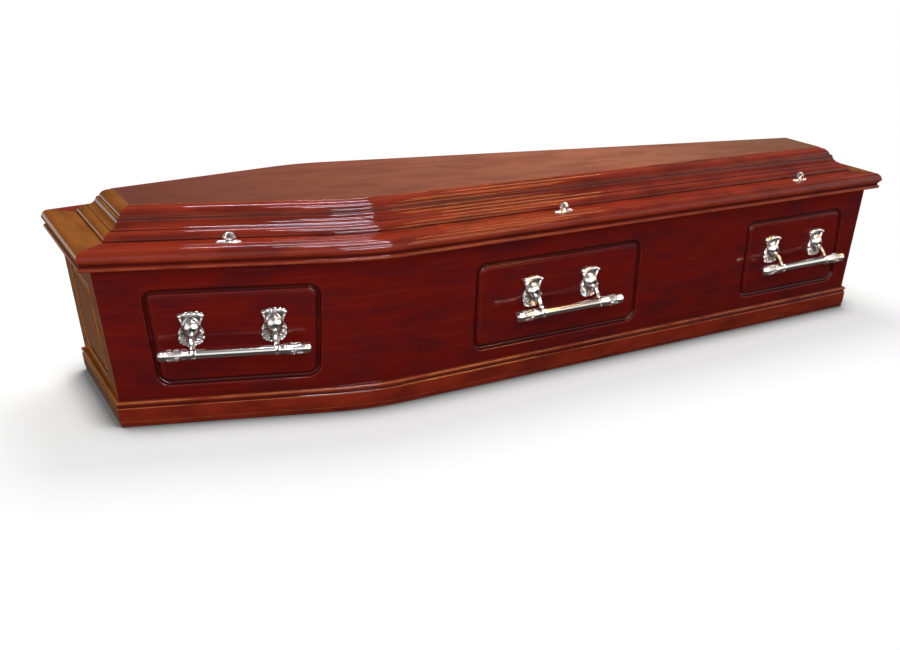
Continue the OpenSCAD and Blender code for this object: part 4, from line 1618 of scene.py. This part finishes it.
@dataclass(frozen=True)
class Studio:
    """A pale floor, soft lamps and the camera.

    Attributes:
        azimuth: Way that the camera looks, in degrees from +Y.
        elevation: Its height above the coffin's level, in degrees.
        roll: Its turn about its own axis, in degrees.
        lens: Its focal length, in millimetres.
        eye: Its place.
    """

    azimuth: float = -28.925
    elevation: float = 20.248
    roll: float = 2.405
    lens: float = 46.63
    eye: tuple[float, float, float] = (-1.3663, -2.2127, 0.9764)

    def see(self) -> None:
        """Sets the camera up."""
        bpy.ops.object.select_all(action="DESELECT")
        bpy.ops.object.camera_add(location=self.eye)
        camera = bpy.context.object
        camera.name = "camera"
        camera.data.lens = self.lens
        camera.data.sensor_width = 36
        az, el, roll = (math.radians(a) for a in (self.azimuth, self.elevation, self.roll))
        ahead = Vector((-math.sin(az) * math.cos(el), math.cos(az) * math.cos(el), -math.sin(el)))
        level = Vector((math.cos(az), math.sin(az), 0))
        over = level.cross(ahead)
        right = math.cos(roll) * level + math.sin(roll) * over
        up = -math.sin(roll) * level + math.cos(roll) * over
        turn = Matrix((right, up, -ahead)).transposed()
        camera.matrix_world = Matrix.Translation(self.eye) @ turn.to_4x4()
        bpy.context.scene.camera = camera

    def backdrop(self) -> None:
        """Lights the world: plain white to look at, and softer on matt surfaces."""
        world = bpy.data.worlds.new("studio")
        bpy.context.scene.world = world
        world.use_nodes = True
        tree = world.node_tree
        tree.nodes.clear()
        power = add_node(tree, "ShaderNodeMapRange", {"Value": seen(tree), "To Min": 0.36, "To Max": 1.0})
        light = add_node(tree, "ShaderNodeBackground", {"Color": (1, 1, 1, 1), "Strength": power.outputs[0]})
        add_node(tree, "ShaderNodeOutputWorld", {"Surface": light.outputs[0]})

    def floor(self) -> None:
        """Lays a pale floor that keeps the coffin's shadow from the lamps, with a painted shadow near the coffin."""
        bpy.ops.object.select_all(action="DESELECT")
        bpy.ops.mesh.primitive_plane_add(size=24, location=(0, 0, -0.0005))
        floor = bpy.context.object
        floor.name = "studio_floor"
        material = bpy.data.materials.new("white_studio_floor")
        tree = new_tree(material)
        # Painted shadow: occlusion darkens the floor's paint and its glow near the coffin
        close = add_node(tree, "ShaderNodeAmbientOcclusion", {"Distance": 0.09}, samples=8)
        near = {"Value": close.outputs["AO"], "From Min": 0.92, "From Max": 0.5, "To Max": 0.85}
        shade = add_node(tree, "ShaderNodeMapRange", near).outputs[0]
        tones = []
        for bright in ("#f4f4f4", "#ffffff"):
            ends = {"Factor": shade, 6: linear(bright), 7: linear("#202020")}
            tones.append(add_node(tree, "ShaderNodeMix", ends, data_type="RGBA").outputs[2])
        paint = add_node(tree, "ShaderNodeBsdfDiffuse", {"Color": tones[0]})
        glow = add_node(tree, "ShaderNodeEmission", {"Color": tones[1], "Strength": 1.0})
        spot = add_node(tree, "ShaderNodeTexCoord", {}).outputs["Object"]
        reach = add_node(tree, "ShaderNodeVectorMath", {0: spot}, operation="LENGTH")
        # Near the coffin part of the floor's white is its own light, and further off all of it
        rise = {"Value": reach.outputs["Value"], "From Min": 1.1, "From Max": 2.2, "To Min": 0.6}
        glare = add_node(tree, "ShaderNodeMapRange", rise)
        share = add_node(tree, "ShaderNodeMath", {0: seen(tree), 1: glare.outputs[0]}, operation="MULTIPLY")
        mix = add_node(tree, "ShaderNodeMixShader", {0: share.outputs[0], 1: paint.outputs[0], 2: glow.outputs[0]})
        add_node(tree, "ShaderNodeOutputMaterial", {"Surface": mix.outputs[0]})
        floor.data.materials.append(material)

    def lamp(
        self,
        name: str,
        place: Sequence[float],
        target: Sequence[float],
        size: Point,
        power: float,
        colour: str = "#ffffff",
    ) -> bpy.types.Object:
        """Hangs a rectangular soft lamp.

        Args:
            name: Name of the lamp.
            place: Where it hangs.
            target: Point that it faces.
            size: Its width and height.
            power: Its power in watts.
            colour: Its colour.

        Returns:
            The lamp.
        """
        bpy.ops.object.select_all(action="DESELECT")
        bpy.ops.object.light_add(type="AREA", location=place)
        lamp = bpy.context.object
        lamp.name = name
        lamp.data.shape = "RECTANGLE"
        lamp.data.size, lamp.data.size_y = size
        lamp.data.energy = power
        lamp.data.color = linear(colour)[:3]
        lamp.visible_camera = False
        lamp.rotation_euler = (Vector(target) - Vector(place)).to_track_quat("-Z", "Y").to_euler()
        return lamp

    def flag(self, name: str, place: Sequence[float], target: Sequence[float], size: Point, colour: str) -> None:
        """Stands a dark card that only the gloss sees, as a studio does to keep lacquer deep.

        Args:
            name: Name of the card.
            place: Its middle.
            target: Point that it faces.
            size: Its width and height.
            colour: Its colour.
        """
        bpy.ops.object.select_all(action="DESELECT")
        bpy.ops.mesh.primitive_plane_add(size=1, location=(0, 0, 0))
        card = bpy.context.object
        card.name = name
        turn = (Vector(target) - Vector(place)).to_track_quat("Z", "Y").to_matrix().to_4x4()
        card.data.transform(Matrix.Translation(place) @ turn @ Matrix.Diagonal((*size, 1, 1)))
        material = bpy.data.materials.new(name)
        tree = new_tree(material)
        glow = add_node(tree, "ShaderNodeEmission", {"Color": linear(colour), "Strength": 1.0})
        add_node(tree, "ShaderNodeOutputMaterial", {"Surface": glow.outputs[0]})
        card.data.materials.append(material)
        card.visible_camera = False
        card.visible_diffuse = False
        card.visible_shadow = False

    def tubes(self) -> None:
        """Hangs the thin lamps whose reflections run along the lid's mouldings."""
        sets = (("white", -0.06, 0.9, "#f2f0ff", 17), ("amber", 1.26, 0.8, "#ffb060", 8))
        spots = ((-2.35, 0.72), (-1.95, 1.4), (-1.1, 2.15), (-0.6, 2.34), (0.72, 2.16))
        for name, x, long, colour, power in sets:
            for i, (y, z) in enumerate(spots):
                place, target = (x, y, z), (x, -0.23, 0.38)
                lamp = self.lamp(f"tube_{name}_{i}", place, target, (long, 0.09), power, colour)
                lamp.visible_diffuse = False

    def light(self) -> None:
        """Sets the stage, the lamps and the cards."""
        self.backdrop()
        self.floor()
        key = self.lamp("key", (0.5, 1.6, 3.3), (0, 0, 0.2), (1.8, 1.8), 125)
        fill = self.lamp("fill", (-1.8, -2.8, 2.6), (0, 0, 0.2), (2.5, 2.5), 70)
        for lamp in (key, fill):
            lamp.visible_glossy = False
        self.tubes()
        self.flag("flag_floor", (0, -0.2, 0.004), (0, -0.2, 1), (6.4, 5.0), "#4a4240")
        self.flag("flag_above", (0, 0, 2.7), (0, 0, 0), (8.5, 8.0), "#8a8684")
        self.flag("flag_left", (-4.6, 3.0, 1.1), (0, 0, 0.4), (5, 3.2), "#3a3634")
        self.flag("flag_behind", (1.2, 4.2, 1.9), (0, 0, 0.4), (11, 2.6), "#4a4442")


def main() -> None:
    """Builds the coffin, its fittings and the studio."""
    logging.basicConfig(level=logging.INFO, format="%(name)s: %(message)s")
    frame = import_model()
    bpy.context.scene.view_settings.view_transform = "Standard"
    studio = Studio()
    studio.see()
    plan = Plan.from_frame()
    finishes = Finishes.make()
    Coffin(plan, Joinery(plan), RaisedPanel()).build(finishes)
    Fittings(plan).build(finishes)
    board = frame["nodes"]["base_board"]
    board.data.materials.clear()
    board.data.materials.append(finishes.inside.material)
    LOG.info("%s: keeps its packed shape", board.name)
    studio.light()


if __name__ == "__main__":
    main()
